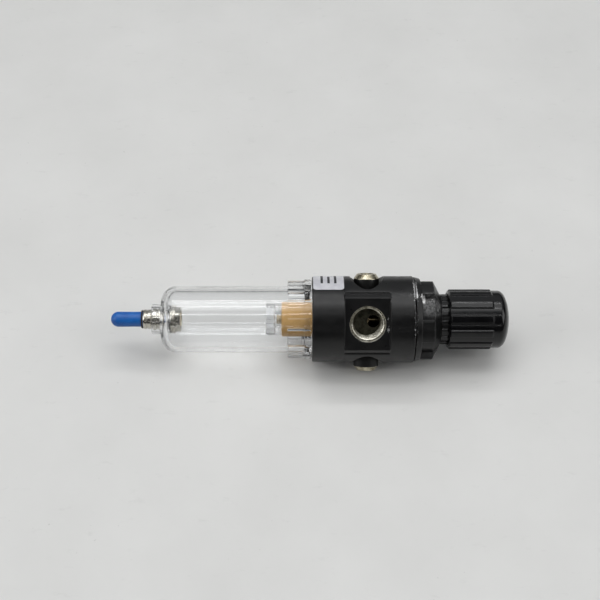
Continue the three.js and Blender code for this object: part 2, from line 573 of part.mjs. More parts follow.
/** What is milled off beside each port: the flat face, and a groove along each of its long edges. */
function portFaceCuts() {
  const outside = BODY_RADIUS + CUT;
  const groove = [BOSS_HALF, BOSS_HALF + GROOVE_WIDTH];
  const faces = [];
  for (const side of [-1, 1]) {
    const outline = [
      [side * BEVEL_FOOT, -BOSS_HALF],
      [side * outside, -BOSS_HALF],
      [side * outside, BOSS_HALF],
      [side * BEVEL_FOOT, BOSS_HALF],
      [side * PORT_FACE, PORT_FACE_HALF],
      [side * PORT_FACE, -PORT_FACE_HALF],
    ];
    faces.push(prism(outline, BLOCK_LOW, BLOCK_HIGH));
    for (const end of [-1, 1]) {
      const [y0, y1] = [side * (BEVEL_FOOT - GROOVE_DEPTH), side * outside];
      const [z0, z1] = groove.map((z) => end * z);
      const low = [BLOCK_LOW, Math.min(y0, y1), Math.min(z0, z1)];
      const high = [BLOCK_HIGH, Math.max(y0, y1), Math.max(z0, z1)];
      faces.push(block(low, high));
    }
  }
  return faces;
}

function bodySolid() {
  const outside = turned([
    [BODY_LOW, 0],
    [BODY_LOW, COLLAR_RADIUS - EDGE],
    [BODY_LOW + EDGE, COLLAR_RADIUS],
    [BLOCK_LOW, COLLAR_RADIUS],
    [BLOCK_LOW, BODY_RADIUS],
    [BODY_HIGH - EDGE / 2, BODY_RADIUS],
    [BODY_HIGH, BODY_RADIUS - EDGE / 2],
    [BODY_HIGH, 0],
  ]);
  const portBoss = prism(
    [
      [-PORT_FACE, -PORT_FACE_HALF],
      [-BEVEL_FOOT, -BOSS_HALF],
      [BEVEL_FOOT, -BOSS_HALF],
      [PORT_FACE, -PORT_FACE_HALF],
      [PORT_FACE, PORT_FACE_HALF],
      [BEVEL_FOOT, BOSS_HALF],
      [-BEVEL_FOOT, BOSS_HALF],
      [-PORT_FACE, PORT_FACE_HALF],
    ],
    BLOCK_LOW,
    BLOCK_HIGH,
  );
  const onFacet = new THREE.Matrix4().makeRotationX(FACET_TURN);
  const shell = moved(outside, onFacet).add(portBoss);
  const outletDuct = rod(0, PORT_FLOOR + CUT, OUTLET_DUCT_RADIUS, DUCT_SIDES);
  const outletDuctAt = new THREE.Matrix4().makeTranslation(CHAMBER_LOW + OUTLET_DUCT_SET, 0, 0);
  const inletDuctHigh = INLET_DUCT_OVERLAP - PORT_THREAD_END;
  const inletDuct = rod(PARTITION_LOW - CUT, inletDuctHigh, INLET_DUCT_RADIUS, DUCT_SIDES);
  const inletDuctAt = new THREE.Matrix4().makeTranslation(0, PORT_FLOOR + INLET_DUCT_RADIUS + CUT, 0);
  return cut(shell, [
    ...portFaceCuts(),
    portBore(TOWARDS.outlet),
    portBore(TOWARDS.inlet),
    ...gaugeBore(TOWARDS.front),
    ...gaugeBore(TOWARDS.rear),
    rod(BODY_LOW - CUT, PARTITION_LOW, BOWL_BORE_RADIUS),
    rod(PARTITION_LOW - CUT, VALVE_BORE_HIGH, VALVE_BORE_RADIUS, SMALL_SIDES),
    rod(0, CHAMBER_LOW + CUT, THROAT_RADIUS, SMALL_SIDES),
    rod(CHAMBER_LOW, DIAPHRAGM_FLOOR + CUT, CHAMBER_RADIUS, SMALL_SIDES),
    rod(DIAPHRAGM_FLOOR, BODY_HIGH + CUT, DIAPHRAGM_BORE_RADIUS),
    moved(moved(outletDuct, TOWARDS.outlet), outletDuctAt),
    moved(inletDuct, inletDuctAt),
  ]);
}

function labelSolid() {
  const inner = COLLAR_RADIUS + LABEL_GAP;
  const front = Math.PI / 2;
  return sector(LABEL_LOW, LABEL_HIGH, inner, inner + LABEL_THICKNESS, front, 2 * LABEL_HALF_ANGLE, 16);
}

function gaugePlugSolid(direction, reach) {
  const shankLow = GAUGE_BORE_END + RUNNING;
  const profile = [
    [shankLow, 0],
    [shankLow, PLUG_SHANK_RADIUS],
    [GAUGE_POCKET_FLOOR - CUT, PLUG_RADIUS],
    [reach - PLUG_CHAMFER_LENGTH, PLUG_RADIUS],
    [reach, PLUG_RIM_RADIUS],
    [reach, 0],
  ];
  const socket = rod(reach - PLUG_SOCKET_DEPTH, reach + CUT, PLUG_SOCKET_RADIUS, 6);
  return moved(turned(profile, SMALL_SIDES).subtract(socket), direction);
}

// ---------------------------------------------------------------- bonnet
function bonnetSolid() {
  const base = turned([
    [SPIGOT_LOW, 0],
    [SPIGOT_LOW, SPIGOT_RADIUS],
    [FLANGE_LOW, SPIGOT_RADIUS],
    [FLANGE_LOW, FLANGE_RADIUS],
    [FLANGE_HIGH, FLANGE_RADIUS - FLANGE_TAPER],
    [FLANGE_HIGH, BONNET_RADIUS],
    [BONNET_CONE_LOW, BONNET_RADIUS],
    [BONNET_SHOULDER, SPLINE_RADIUS],
    [BONNET_SHOULDER + SPLINE_RUNOUT, NECK_RADIUS],
    [NECK_HIGH, NECK_RADIUS],
    [NECK_HIGH, 0],
  ]);
  const lugOutline = turned([
    [FLANGE_HIGH - CUT, 0],
    [FLANGE_HIGH - CUT, LUG_RADIUS],
    [LUG_HIGH, LUG_RADIUS],
    [BONNET_SHOULDER, SPLINE_RADIUS],
    [BONNET_SHOULDER, 0],
  ]);
  const lugs = around(LUG_COUNT, (angle) =>
    sector(FLANGE_HIGH - CUT, NECK_HIGH, CUT, LUG_RADIUS + CUT, LUG_START + angle, LUG_ANGLE),
  );
  const splines = around(SPLINE_COUNT, (angle) =>
    sector(BONNET_SHOULDER - CUT, SPLINE_HIGH, NECK_RADIUS - CUT, SPLINE_RADIUS, angle, SPLINE_ANGLE, 1),
  );
  const outside = sum([base, lugOutline.intersect(sum(lugs)), ...splines]);
  return cut(outside, [
    rod(SPIGOT_LOW - CUT, SPIGOT_BORE_HIGH, SPIGOT_BORE_RADIUS),
    rod(SPIGOT_LOW, NECK_WALL_LOW, SPRING_CAVITY_RADIUS, 6),
    rod(NECK_WALL_LOW - CUT, NECK_HIGH + CUT, DRIVE_RADIUS + RUNNING, SMALL_SIDES),
  ]);
}

// ---------------------------------------------------------------- diaphragm stack
const diaphragmSolid = () =>
  tube(DIAPHRAGM_LOW, DIAPHRAGM_HIGH, RELIEF_RADIUS, SPIGOT_RADIUS, SMALL_SIDES);

const slipRingSolid = () =>
  tube(
    SLIP_RING_LOW,
    SLIP_RING_LOW + SLIP_RING_THICKNESS,
    SLIP_RING_BORE,
    SPIGOT_RADIUS,
    SMALL_SIDES,
  );

function plateSolid() {
  return turnedLoop(
    [
      [PLATE_LOW, RELIEF_RADIUS],
      [PLATE_LOW, PLATE_RADIUS],
      [PLATE_HIGH, PLATE_RADIUS],
      [PLATE_HIGH, PLATE_BOSS_RADIUS],
      [PLATE_BOSS_HIGH, PLATE_BOSS_RADIUS - EDGE],
      [PLATE_BOSS_HIGH, RELIEF_RADIUS],
    ],
    SMALL_SIDES,
  );
}

const hubSolid = () => {
  const vent = rod(HUB_LOW - CUT, HUB_HIGH + CUT, RELIEF_VENT_RADIUS, FINE_SIDES);
  return rod(HUB_LOW, HUB_HIGH, HUB_RADIUS, SMALL_SIDES).subtract(vent);
};

const rangeSpringSolid = () =>
  spring(PLATE_HIGH + SEAT, NUT_LOW - SEAT, RANGE_SPRING_RADIUS, RANGE_WIRE, RANGE_TURNS);

// ---------------------------------------------------------------- adjusting screw, nut and knob
function screwSolid() {
  const flangeHigh = SCREW_FLANGE_LOW + SCREW_FLANGE_THICKNESS;
  const shank = turned(
    [
      [SCREW_LOW, 0],
      [SCREW_LOW, SCREW_RADIUS],
      [SCREW_FLANGE_LOW, SCREW_RADIUS],
      [SCREW_FLANGE_LOW, SCREW_FLANGE_RADIUS],
      [flangeHigh, SCREW_FLANGE_RADIUS],
      [flangeHigh, SCREW_RADIUS],
      [CLIP_LOW - SEAT, SCREW_RADIUS],
      [CLIP_LOW - SEAT, CLIP_GROOVE_RADIUS],
      [CLIP_HIGH + CUT, CLIP_GROOVE_RADIUS],
      [CLIP_HIGH + CUT, 0],
    ],
    SMALL_SIDES,
  );
  return shank.add(rod(DRIVE_LOW, DRIVE_HIGH, DRIVE_RADIUS, 6));
}

const thrustWasherSolid = () =>
  tube(
    THRUST_WASHER_LOW,
    THRUST_WASHER_LOW + THRUST_WASHER_THICKNESS,
    SCREW_RADIUS + RUNNING,
    SCREW_FLANGE_RADIUS,
    SMALL_SIDES,
  );

const clipSolid = () =>
  tube(CLIP_LOW, CLIP_HIGH, CLIP_GROOVE_RADIUS + SEAT, CLIP_RADIUS, SMALL_SIDES);

function nutSolid() {
  const hole = rod(NUT_LOW - CUT, NUT_HIGH + CUT, SCREW_RADIUS + NUT_THREAD_GAP, SMALL_SIDES);
  return rod(NUT_LOW, NUT_HIGH, SPRING_CAVITY_RADIUS - RUNNING, 6).subtract(hole);
}

function knobSolid() {
  const dome = new THREE.SplineCurve([
    new THREE.Vector2(KNOB_TOP - KNOB_DOME_HEIGHT, KNOB_RADIUS),
    ...KNOB_DOME.map(([down, inwards]) => new THREE.Vector2(KNOB_TOP - down, KNOB_RADIUS - inwards)),
    new THREE.Vector2(KNOB_TOP, 0),
  ]);
  const outside = turned([
    [KNOB_LOW, 0],
    [KNOB_LOW, KNOB_RADIUS - KNOB_CHAMFER],
    [KNOB_LOW + KNOB_CHAMFER, KNOB_RADIUS],
    ...dome.getPoints(7).map((point) => [point.x, Math.max(point.y, 0)]),
  ]);
  const ribs = around(KNOB_RIB_COUNT, (angle) =>
    sector(
      KNOB_LOW + KNOB_CHAMFER,
      KNOB_TOP - KNOB_RIB_END,
      KNOB_RADIUS - CUT,
      KNOB_RIB_RADIUS,
      angle + KNOB_RIB_ANGLE / 2,
      KNOB_RIB_ANGLE,
      2,
    ),
  );
  const toothPitch = TAU / SPLINE_COUNT;
  const toothLow = KNOB_LOW + SEAT;
  const teeth = around(SPLINE_COUNT, (angle) =>
    sector(
      toothLow,
      toothLow + KNOB_TOOTH_LENGTH,
      NECK_RADIUS + SEAT,
      KNOB_BORE_RADIUS + SEAT,
      angle + toothPitch / 2,
      SPLINE_ANGLE,
      1,
    ),
  );
  const hollow = cut(sum([outside, ...ribs]), [
    rod(KNOB_LOW - CUT, KNOB_BORE_HIGH, KNOB_BORE_RADIUS),
    rod(KNOB_BORE_HIGH - CUT, DRIVE_SOCKET_HIGH, DRIVE_RADIUS + RUNNING, 6),
  ]);
  return sum([hollow, ...teeth]);
}

// ---------------------------------------------------------------- valve
const seatSolid = () =>
  tube(VALVE_SEAT_LOW, VALVE_SEAT_HIGH, VALVE_SEAT_BORE, GUIDE_RADIUS, SMALL_SIDES);

const poppetSealSolid = () =>
  tube(POPPET_SEAL_LOW, POPPET_SEAL_HIGH, VALVE_PIN_RADIUS + SEAT, POPPET_RADIUS - SEAT, SMALL_SIDES);

const valveStemSolid = () =>
  turned(
    [
      [VALVE_TAIL_LOW, 0],
      [VALVE_TAIL_LOW, VALVE_PIN_RADIUS],
      [POPPET_LOW, VALVE_PIN_RADIUS],
      [POPPET_LOW, POPPET_RADIUS],
      [POPPET_HIGH, POPPET_RADIUS],
      [POPPET_HIGH, VALVE_PIN_RADIUS],
      [HUB_LOW - SEAT, VALVE_PIN_RADIUS],
      [HUB_LOW - SEAT, 0],
    ],
    SMALL_SIDES,
  );

function guideSolid() {
  const ring = tube(GUIDE_LOW, GUIDE_HIGH, GUIDE_BORE_RADIUS, GUIDE_RADIUS, SMALL_SIDES);
  const holes = around(GUIDE_HOLES, (angle) => {
    const place = new THREE.Matrix4().makeTranslation(
      0,
      GUIDE_HOLES_AT * Math.cos(angle),
      GUIDE_HOLES_AT * Math.sin(angle),
    );
    return moved(rod(GUIDE_LOW - CUT, GUIDE_HIGH + CUT, GUIDE_HOLE_RADIUS, FINE_SIDES), place);
  });
  return cut(ring, holes);
}

const valveSpringSolid = () =>
  spring(GUIDE_HIGH + SEAT, POPPET_LOW - SEAT, VALVE_SPRING_RADIUS, VALVE_WIRE, VALVE_TURNS, 12, 5);

// ---------------------------------------------------------------- filter
const filterSolid = () =>
  tube(FILTER_LOW, FILTER_HIGH, FILTER_BORE_RADIUS, FILTER_RADIUS, SMALL_SIDES);

function studSolid() {
  const bore = VALVE_PIN_RADIUS + RUNNING;
  const blind = rod(STUD_HIGH - STUD_BORE_DEPTH, STUD_HIGH + CUT, bore, DUCT_SIDES);
  return rod(STUD_LOW, STUD_HIGH, STUD_RADIUS, SMALL_SIDES).subtract(blind);
}

function baffleSolid() {
  const skirtLow = BAFFLE_LOW - BAFFLE_SKIRT;
  const bore = STUD_RADIUS + SEAT;
  return turnedLoop(
    [
      [BAFFLE_HIGH, bore],
      [BAFFLE_LOW, bore],
      [BAFFLE_LOW, BAFFLE_RADIUS - BAFFLE_SKIRT_WALL],
      [skirtLow, BAFFLE_RADIUS - BAFFLE_SKIRT_WALL],
      [skirtLow, BAFFLE_RADIUS],
      [BAFFLE_HIGH, BAFFLE_RADIUS],
    ],
    SMALL_SIDES,
  );
}

/** The ring that makes the incoming air spin, with slanted slots in its outer edge. */
function deflectorSolid() {
  const ring = tube(DEFLECTOR_LOW, DEFLECTOR_HIGH, DEFLECTOR_BORE_RADIUS, DEFLECTOR_RADIUS);
  const halfLength = DEFLECTOR_THICKNESS / 2 + CUT;
  const halfWidth = DEFLECTOR_SLOT_WIDTH / 2;
  const slot = block(
    [-halfLength, -halfWidth, DEFLECTOR_BORE_RADIUS + DEFLECTOR_WEB],
    [halfLength, halfWidth, DEFLECTOR_RADIUS + CUT],
  );
  const slanted = moved(slot, new THREE.Matrix4().makeRotationZ(DEFLECTOR_SLANT));
  const middle = (DEFLECTOR_LOW + DEFLECTOR_HIGH) / 2;
  const placed = moved(slanted, new THREE.Matrix4().makeTranslation(middle, 0, 0));
  const slots = around(DEFLECTOR_SLOTS, (angle) => moved(placed, new THREE.Matrix4().makeRotationX(angle)));
  return cut(ring, slots);
}

// ---------------------------------------------------------------- bowl
/** Points of a quarter round from one [x, radius] to another, bulging towards the corner. */
function quarter(from, to, corner, steps = 4) {
  return Array.from({ length: steps + 1 }, (_, i) => {
    const angle = (Math.PI / 2) * (i / steps);
    const [a, b] = [1 - Math.sin(angle), 1 - Math.cos(angle)];
    return [
      corner[0] + a * (from[0] - corner[0]) + b * (to[0] - corner[0]),
      corner[1] + a * (from[1] - corner[1]) + b * (to[1] - corner[1]),
    ];
  });
}

function bowlSolid() {
  const groove = BOWL_BORE_RADIUS - RUNNING / 2 - 2 * O_RING_SECTION - SEAT;
  const grooveHalf = O_RING_SECTION + SEAT;
  const innerCorner = BOWL_CORNER - BOWL_WALL;
  const shell = turnedLoop([
    [BOWL_NECK_HIGH, BOWL_NECK_BORE],
    [BODY_LOW, BOWL_NECK_BORE],
    [RIM_LOW, BOWL_BORE],
    ...quarter(
      [BOWL_FLOOR + innerCorner, BOWL_BORE],
      [BOWL_FLOOR, BOWL_BORE - innerCorner],
      [BOWL_FLOOR, BOWL_BORE],
    ),
    [BOWL_FLOOR, DRAIN_HOLE_RADIUS],
    [BOSS_LOW, DRAIN_HOLE_RADIUS],
    [BOSS_LOW, BOSS_RADIUS],
    [BOWL_END, BOSS_RADIUS],
    ...quarter(
      [BOWL_END, BOWL_RADIUS - BOWL_CORNER],
      [BOWL_END + BOWL_CORNER, BOWL_RADIUS],
      [BOWL_END, BOWL_RADIUS],
      5,
    ),
    [RIM_LOW, BOWL_RADIUS],
    [RIM_LOW, RIM_RADIUS],
    [RIM_HIGH, RIM_RADIUS],
    [RIM_HIGH, BOWL_FLANGE_RADIUS],
    [BOWL_FLANGE_HIGH, BOWL_FLANGE_RADIUS],
    [BOWL_FLANGE_HIGH, NECK_THREAD_RADIUS],
    [O_RING_AT - grooveHalf, NECK_THREAD_RADIUS],
    [O_RING_AT - grooveHalf, groove],
    [O_RING_AT + grooveHalf, groove],
    [O_RING_AT + grooveHalf, NECK_THREAD_RADIUS],
    [BOWL_NECK_HIGH, NECK_THREAD_RADIUS],
  ]);
  const notches = around(RIM_NOTCHES, (angle) =>
    sector(RIM_LOW - CUT, RIM_HIGH, RIM_NOTCH_FLOOR, RIM_RADIUS + CUT, angle, RIM_NOTCH_ANGLE, 2),
  );
  return cut(shell, notches);
}

function oRingSolid() {
  const middle = BOWL_BORE_RADIUS - RUNNING / 2 - O_RING_SECTION;
  const section = Array.from({ length: 6 }, (_, i) => {
    const angle = (TAU * i) / 6;
    return [
      O_RING_AT + O_RING_SECTION * Math.cos(angle),
      middle + O_RING_SECTION * Math.sin(angle),
    ];
  });
  return turnedLoop(section);
}

// ---------------------------------------------------------------- drain
function drainBodySolid() {
  const neckHigh = BOSS_LOW + RUNNING + DRAIN_NECK_WIDTH;
  const capBoreHigh = DRAIN_CAP_HIGH + DRAIN_PUSH + RUNNING;
  return turnedLoop(
    [
      [DRAIN_LOW, DRAIN_HEAD_BORE],
      [DRAIN_LOW, DRAIN_HEAD_RADIUS - EDGE],
      [DRAIN_LOW + EDGE, DRAIN_HEAD_RADIUS],
      [DRAIN_HEAD_HIGH, DRAIN_HEAD_RADIUS],
      [DRAIN_HEAD_HIGH, DRAIN_NECK_RADIUS],
      [neckHigh, DRAIN_NECK_RADIUS],
      [neckHigh, DRAIN_SHANK_RADIUS],
      [BOWL_FLOOR - SEAT, DRAIN_SHANK_RADIUS],
      [BOWL_FLOOR - SEAT, DRAIN_THREAD_RADIUS],
      [DRAIN_HIGH, DRAIN_THREAD_RADIUS],
      [DRAIN_HIGH, DRAIN_STEM_BORE],
      [DRAIN_SPRING_SEAT, DRAIN_STEM_BORE],
      [DRAIN_SPRING_SEAT, DRAIN_SPRING_BORE],
      [capBoreHigh, DRAIN_SPRING_BORE],
      [capBoreHigh, DRAIN_HEAD_BORE],
    ],
    SMALL_SIDES,
  );
}

function drainNutSolid() {
  const step = DRAIN_NUT_LOW + DRAIN_NUT_COLLAR;
  return turnedLoop(
    [
      [DRAIN_NUT_LOW, DRAIN_THREAD_RADIUS + SEAT],
      [DRAIN_NUT_LOW, DRAIN_NUT_RADIUS],
      [step, DRAIN_NUT_RADIUS],
      [step, DRAIN_NUT_RADIUS - EDGE],
      [DRAIN_NUT_HIGH, DRAIN_NUT_RADIUS - EDGE],
      [DRAIN_NUT_HIGH, DRAIN_THREAD_RADIUS + SEAT],
    ],
    SMALL_SIDES,
  );
}

const drainGasketSolid = () =>
  tube(
    DRAIN_GASKET_LOW,
    DRAIN_GASKET_LOW + DRAIN_GASKET_THICKNESS,
    DRAIN_THREAD_RADIUS + SEAT,
    DRAIN_NUT_RADIUS - SEAT,
    SMALL_SIDES,
  );

const drainCollarSolid = () =>
  tube(
    DRAIN_LOW - SEAT - DRAIN_COLLAR_LENGTH,
    DRAIN_LOW - SEAT,
    DRAIN_HEAD_BORE,
    DRAIN_COLLAR_RADIUS,
    SMALL_SIDES,
  );

function drainCapSolid() {
  const domeHigh = DRAIN_CAP_TIP + DRAIN_CAP_RADIUS;
  const outside = turned(
    [
      ...quarter([DRAIN_CAP_TIP, 0], [domeHigh, DRAIN_CAP_RADIUS], [DRAIN_CAP_TIP, DRAIN_CAP_RADIUS]),
      [DRAIN_CAP_HIGH, DRAIN_CAP_RADIUS],
      [DRAIN_CAP_HIGH, 0],
    ],
    SMALL_SIDES,
  );
  const socketLow = DRAIN_LOW - DRAIN_COLLAR_LENGTH - CUT;
  return outside.subtract(rod(socketLow, DRAIN_CAP_HIGH + CUT, DRAIN_STEM_RADIUS + SEAT, DUCT_SIDES));
}

function drainStemSolid() {
  const low = DRAIN_LOW - DRAIN_COLLAR_LENGTH;
  const headHigh = DRAIN_STEM_HEAD_LOW + DRAIN_STEM_HEAD;
  return turned(
    [
      [low, 0],
      [low, DRAIN_STEM_RADIUS],
      [DRAIN_STEM_HEAD_LOW, DRAIN_STEM_RADIUS],
      [DRAIN_STEM_HEAD_LOW, DRAIN_STEM_HEAD_RADIUS],
      [headHigh, DRAIN_STEM_HEAD_RADIUS],
      [headHigh, 0],
    ],
    SMALL_SIDES,
  );
}

const drainSealSolid = () =>
  tube(
    DRAIN_SEAL_LOW,
    DRAIN_SEAL_LOW + DRAIN_SEAL_THICKNESS,
    DRAIN_STEM_RADIUS + SEAT,
    DRAIN_STEM_HEAD_RADIUS,
    SMALL_SIDES,
  );

const drainSpringSolid = () =>
  spring(
    DRAIN_CAP_HIGH + SEAT,
    DRAIN_SPRING_SEAT - SEAT,
    DRAIN_SPRING_RADIUS,
    DRAIN_WIRE,
    DRAIN_TURNS,
    10,
    5,
  );

// ---------------------------------------------------------------- the assembly
const UNITS = {
  housing: {
    body: [bodySolid(), castBlack()],
    label: [labelSolid(), labelFilm()],
    gauge_plug_front: [gaugePlugSolid(TOWARDS.front, PLUG_REACH_FRONT), brass()],
    gauge_plug_rear: [gaugePlugSolid(TOWARDS.rear, PLUG_REACH_REAR), brass()],
    bonnet: [bonnetSolid(), castBlack()],
    diaphragm: [diaphragmSolid(), rubberBlack()],
    slip_ring: [slipRingSolid(), steel()],
    range_spring: [rangeSpringSolid(), steel()],
    valve_seat: [seatSolid(), brass()],
    valve_spring: [valveSpringSolid(), steel()],
    valve_guide: [guideSolid(), acetal()],
    deflector: [deflectorSolid(), acetal()],
    filter_element: [filterSolid(), sintered()],
    filter_stud: [studSolid(), brass()],
    baffle: [baffleSolid(), clearPlastic()],
  },
  adjuster: {
    adjusting_screw: [screwSolid(), brass()],
    thrust_washer: [thrustWasherSolid(), steel()],
    retaining_clip: [clipSolid(), steel()],
  },
  handle: { knob: [knobSolid(), plasticBlack()] },
  nut: { spring_nut: [nutSolid(), brass()] },
  diaphragm_centre: {
    diaphragm_plate: [plateSolid(), steel()],
    relief_hub: [hubSolid(), brass()],
  },
  valve: {
    valve_stem: [valveStemSolid(), brass()],
    poppet_seal: [poppetSealSolid(), rubberBlack()],
  },
  seal: { bowl_o_ring: [oRingSolid(), rubberBlack()] },
  bowl_group: {
    bowl: [bowlSolid(), clearPlastic()],
    drain_body: [drainBodySolid(), nickel()],
    drain_nut: [drainNutSolid(), nickel()],
    drain_gasket: [drainGasketSolid(), rubberBlack()],
    drain_collar: [drainCollarSolid(), rubberBlack()],
    drain_spring: [drainSpringSolid(), steel()],
  },
  drain_button: {
    drain_cap: [drainCapSolid(), blueVinyl()],
    drain_stem: [drainStemSolid(), brass()],
    drain_seal: [drainSealSolid(), rubberBlack()],
  },
};

function meshFrom(name, solid, material) {
  const { vertProperties, triVerts } = solid.getMesh();
  const geometry = new THREE.BufferGeometry();
  geometry.setAttribute("position", new THREE.BufferAttribute(vertProperties, 3));
  geometry.setIndex(new THREE.BufferAttribute(triVerts, 1));
  geometry.computeVertexNormals();
  const mesh = new THREE.Mesh(geometry, material);
  mesh.name = name;
  return mesh;
}

const unit = new THREE.Group();
unit.rotation.x = -ROLL;
for (const pieces of Object.values(UNITS)) {
  const group = new THREE.Group();
  for (const [name, [solid, material]] of Object.entries(pieces)) {
    group.add(meshFrom(name, solid, material));
  }
  unit.add(group);
}

// The origin is the middle of the underside of the whole unit's box.
const regulator = new THREE.Group();
regulator.add(unit);
regulator.updateMatrixWorld(true);
const box = new THREE.Box3().setFromObject(regulator, true);
const middle = box.getCenter(new THREE.Vector3());
unit.position.set(-middle.x, -middle.y, -box.min.z);

export default regulator;
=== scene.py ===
"""Looks of a miniature air filter-regulator that lies on its side on a pale floor.

Each piece is modelled in the unit's own frame, in millimetres. X runs along the axis from the drain to the
knob and is 0 at the port axis, -Y is the outlet port and +Z the front gauge port. An angle about X runs from
-Y towards +Z. place() then puts the piece into the frame's metres.
"""

import json
import random
from math import atan2, copysign, cos, degrees, hypot, pi, radians, sin, sqrt, tan

import bmesh
import bpy
from mathutils import Matrix, Vector


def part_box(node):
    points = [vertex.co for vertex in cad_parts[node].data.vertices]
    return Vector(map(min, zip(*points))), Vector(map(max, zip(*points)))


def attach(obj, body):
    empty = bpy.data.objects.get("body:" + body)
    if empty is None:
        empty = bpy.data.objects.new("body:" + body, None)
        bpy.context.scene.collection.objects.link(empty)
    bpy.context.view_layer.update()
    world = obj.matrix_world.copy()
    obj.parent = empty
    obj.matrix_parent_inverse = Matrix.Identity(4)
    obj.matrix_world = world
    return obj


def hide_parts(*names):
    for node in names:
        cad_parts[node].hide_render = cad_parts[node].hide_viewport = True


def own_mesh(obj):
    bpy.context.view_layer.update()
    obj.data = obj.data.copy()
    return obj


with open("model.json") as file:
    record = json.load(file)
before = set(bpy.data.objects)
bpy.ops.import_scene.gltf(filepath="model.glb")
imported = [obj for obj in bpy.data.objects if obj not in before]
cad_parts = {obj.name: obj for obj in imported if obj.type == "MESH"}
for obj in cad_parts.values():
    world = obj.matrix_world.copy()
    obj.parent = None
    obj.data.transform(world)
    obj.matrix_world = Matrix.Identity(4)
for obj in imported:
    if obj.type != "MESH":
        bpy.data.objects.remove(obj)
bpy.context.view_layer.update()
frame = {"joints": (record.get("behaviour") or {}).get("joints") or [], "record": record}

TAU = 2 * pi
MM = 0.001
SAME = 1e-6  # sizes closer than this many millimetres are the same
WELD = 1e-5  # points closer than this many millimetres become one
STRAIGHT = radians(172)  # a corner flatter than this isn't rounded
ARC_SHARE = 0.45  # the most that the arc at one end takes of an edge

# ---- the unit's frame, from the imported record
MOUNTS = {m["name"]: m for m in frame["record"]["mounts"]}
OUTLET, INLET = MOUNTS["outlet_face"], MOUNTS["inlet_face"]
ROLL = atan2(OUTLET["axis"][2], -OUTLET["axis"][1])
PORT_X = OUTLET["pos_m"][0]
FACE_MIDDLE = (Vector(OUTLET["pos_m"]) + Vector(INLET["pos_m"])) / 2
AXIS_Z = FACE_MIDDLE.z - FACE_MIDDLE.y / tan(ROLL)
UNIT = Matrix.Translation((PORT_X, 0, AXIS_Z)) @ Matrix.Rotation(-ROLL, 4, "X") @ Matrix.Scale(MM, 4)
PORT_FACE = (Vector(INLET["pos_m"]) - Vector(OUTLET["pos_m"])).length / 2 / MM


def span(node):
    """Where a node starts and ends along the unit's axis, in millimetres from the port axis."""
    low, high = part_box(node)
    return (low.x - PORT_X) / MM, (high.x - PORT_X) / MM


def girth(node):
    """A turned node's outer radius in millimetres."""
    low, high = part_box(node)
    return (high.z - low.z) / 2 / MM


# ---- meshes
def smoothstep(edge0, edge1, x):
    t = min(max((x - edge0) / (edge1 - edge0), 0), 1)
    return t * t * (3 - 2 * t)


def ramp(x, low, high, start, end):
    return start + (end - start) * min(max((x - low) / (high - low), 0), 1)


def band(value, start, full, fade, end):
    """0 outside start and end, 1 between full and fade."""
    return smoothstep(start, full, value) * (1 - smoothstep(fade, end, value))


def rounded(points, radius, steps=3, closed=False):
    """An outline of [x, r] points with each corner turned into a small arc."""
    corners = [Vector(p) for p in points]
    made = []
    for i, corner in enumerate(corners):
        if not closed and i in (0, len(corners) - 1):
            made.append(corner)
            continue
        back = corners[i - 1] - corner
        ahead = corners[(i + 1) % len(corners)] - corner
        turn = back.angle(ahead)
        if turn > STRAIGHT:
            made.append(corner)
            continue
        longest = ARC_SHARE * min(back.length, ahead.length)
        reach = min(radius / tan(turn / 2), longest)
        start, end = corner + back.normalized() * reach, corner + ahead.normalized() * reach
        for k in range(steps + 1):
            t = k / steps
            made.append((1 - t) ** 2 * start + 2 * t * (1 - t) * corner + t * t * end)
    return [(p.x, max(p.y, 0)) for p in made]


def arc(centre, radius, start, end, steps=8):
    """Points of a round stretch of an outline, between two angles in degrees from +X towards +r."""
    angles = [radians(start + (end - start) * k / steps) for k in range(steps + 1)]
    return [(centre[0] + radius * cos(a), centre[1] + radius * sin(a)) for a in angles]


def stretch(start, end, step, radius):
    """Evenly spaced points of a straight stretch of an outline, for a thread or a grain to move."""
    return [(start + step * k, radius) for k in range(int((end - start) / step))]


def even_angles(count):
    return [TAU * k / count for k in range(count)]


def turned(name, outline, angles=96, closed=False, shape=None, smooth=32):
    """A piece turned about X. shape(x, r, angle) may move a point."""
    angles = even_angles(angles) if isinstance(angles, int) else angles
    points, rings = [], []
    for x, r in outline:
        if abs(r) < SAME:
            rings.append([len(points)] * len(angles))
            points.append((x, 0, 0))
            continue
        rings.append(list(range(len(points), len(points) + len(angles))))
        for angle in angles:
            px, pr = shape(x, r, angle) if shape else (x, r)
            points.append((px, -pr * cos(angle), pr * sin(angle)))
    pairs = list(zip(rings, rings[1:] + (rings[:1] if closed else [])))
    faces = []
    for one, two in pairs if closed else pairs[: len(rings) - 1]:
        for k in range(len(angles)):
            n = (k + 1) % len(angles)
            corners = [one[k], one[n], two[n], two[k]]
            face = [c for j, c in enumerate(corners) if c != corners[j - 1]]
            if len(face) > 2:
                faces.append(face)
    return mesh_object(name, points, faces, smooth)


def scene_object(name, data):
    made = bpy.data.objects.new(name, data)
    bpy.context.scene.collection.objects.link(made)
    return made


def mesh_object(name, points, faces, smooth=32):
    mesh = bpy.data.meshes.new(name)
    mesh.from_pydata([tuple(p) for p in points], [], faces)
    made = scene_object(name, mesh)
    tidy(made, smooth)
    return made


def tidy(piece, smooth=32):
    """Faces point out, and edges sharper than smooth degrees stay sharp in the shading."""
    work = bmesh.new()
    work.from_mesh(piece.data)
    bmesh.ops.remove_doubles(work, verts=work.verts, dist=WELD)
    bmesh.ops.recalc_face_normals(work, faces=work.faces)
    work.to_mesh(piece.data)
    work.free()
    piece.data.shade_smooth()
    piece.data.set_sharp_from_angle(angle=radians(smooth))


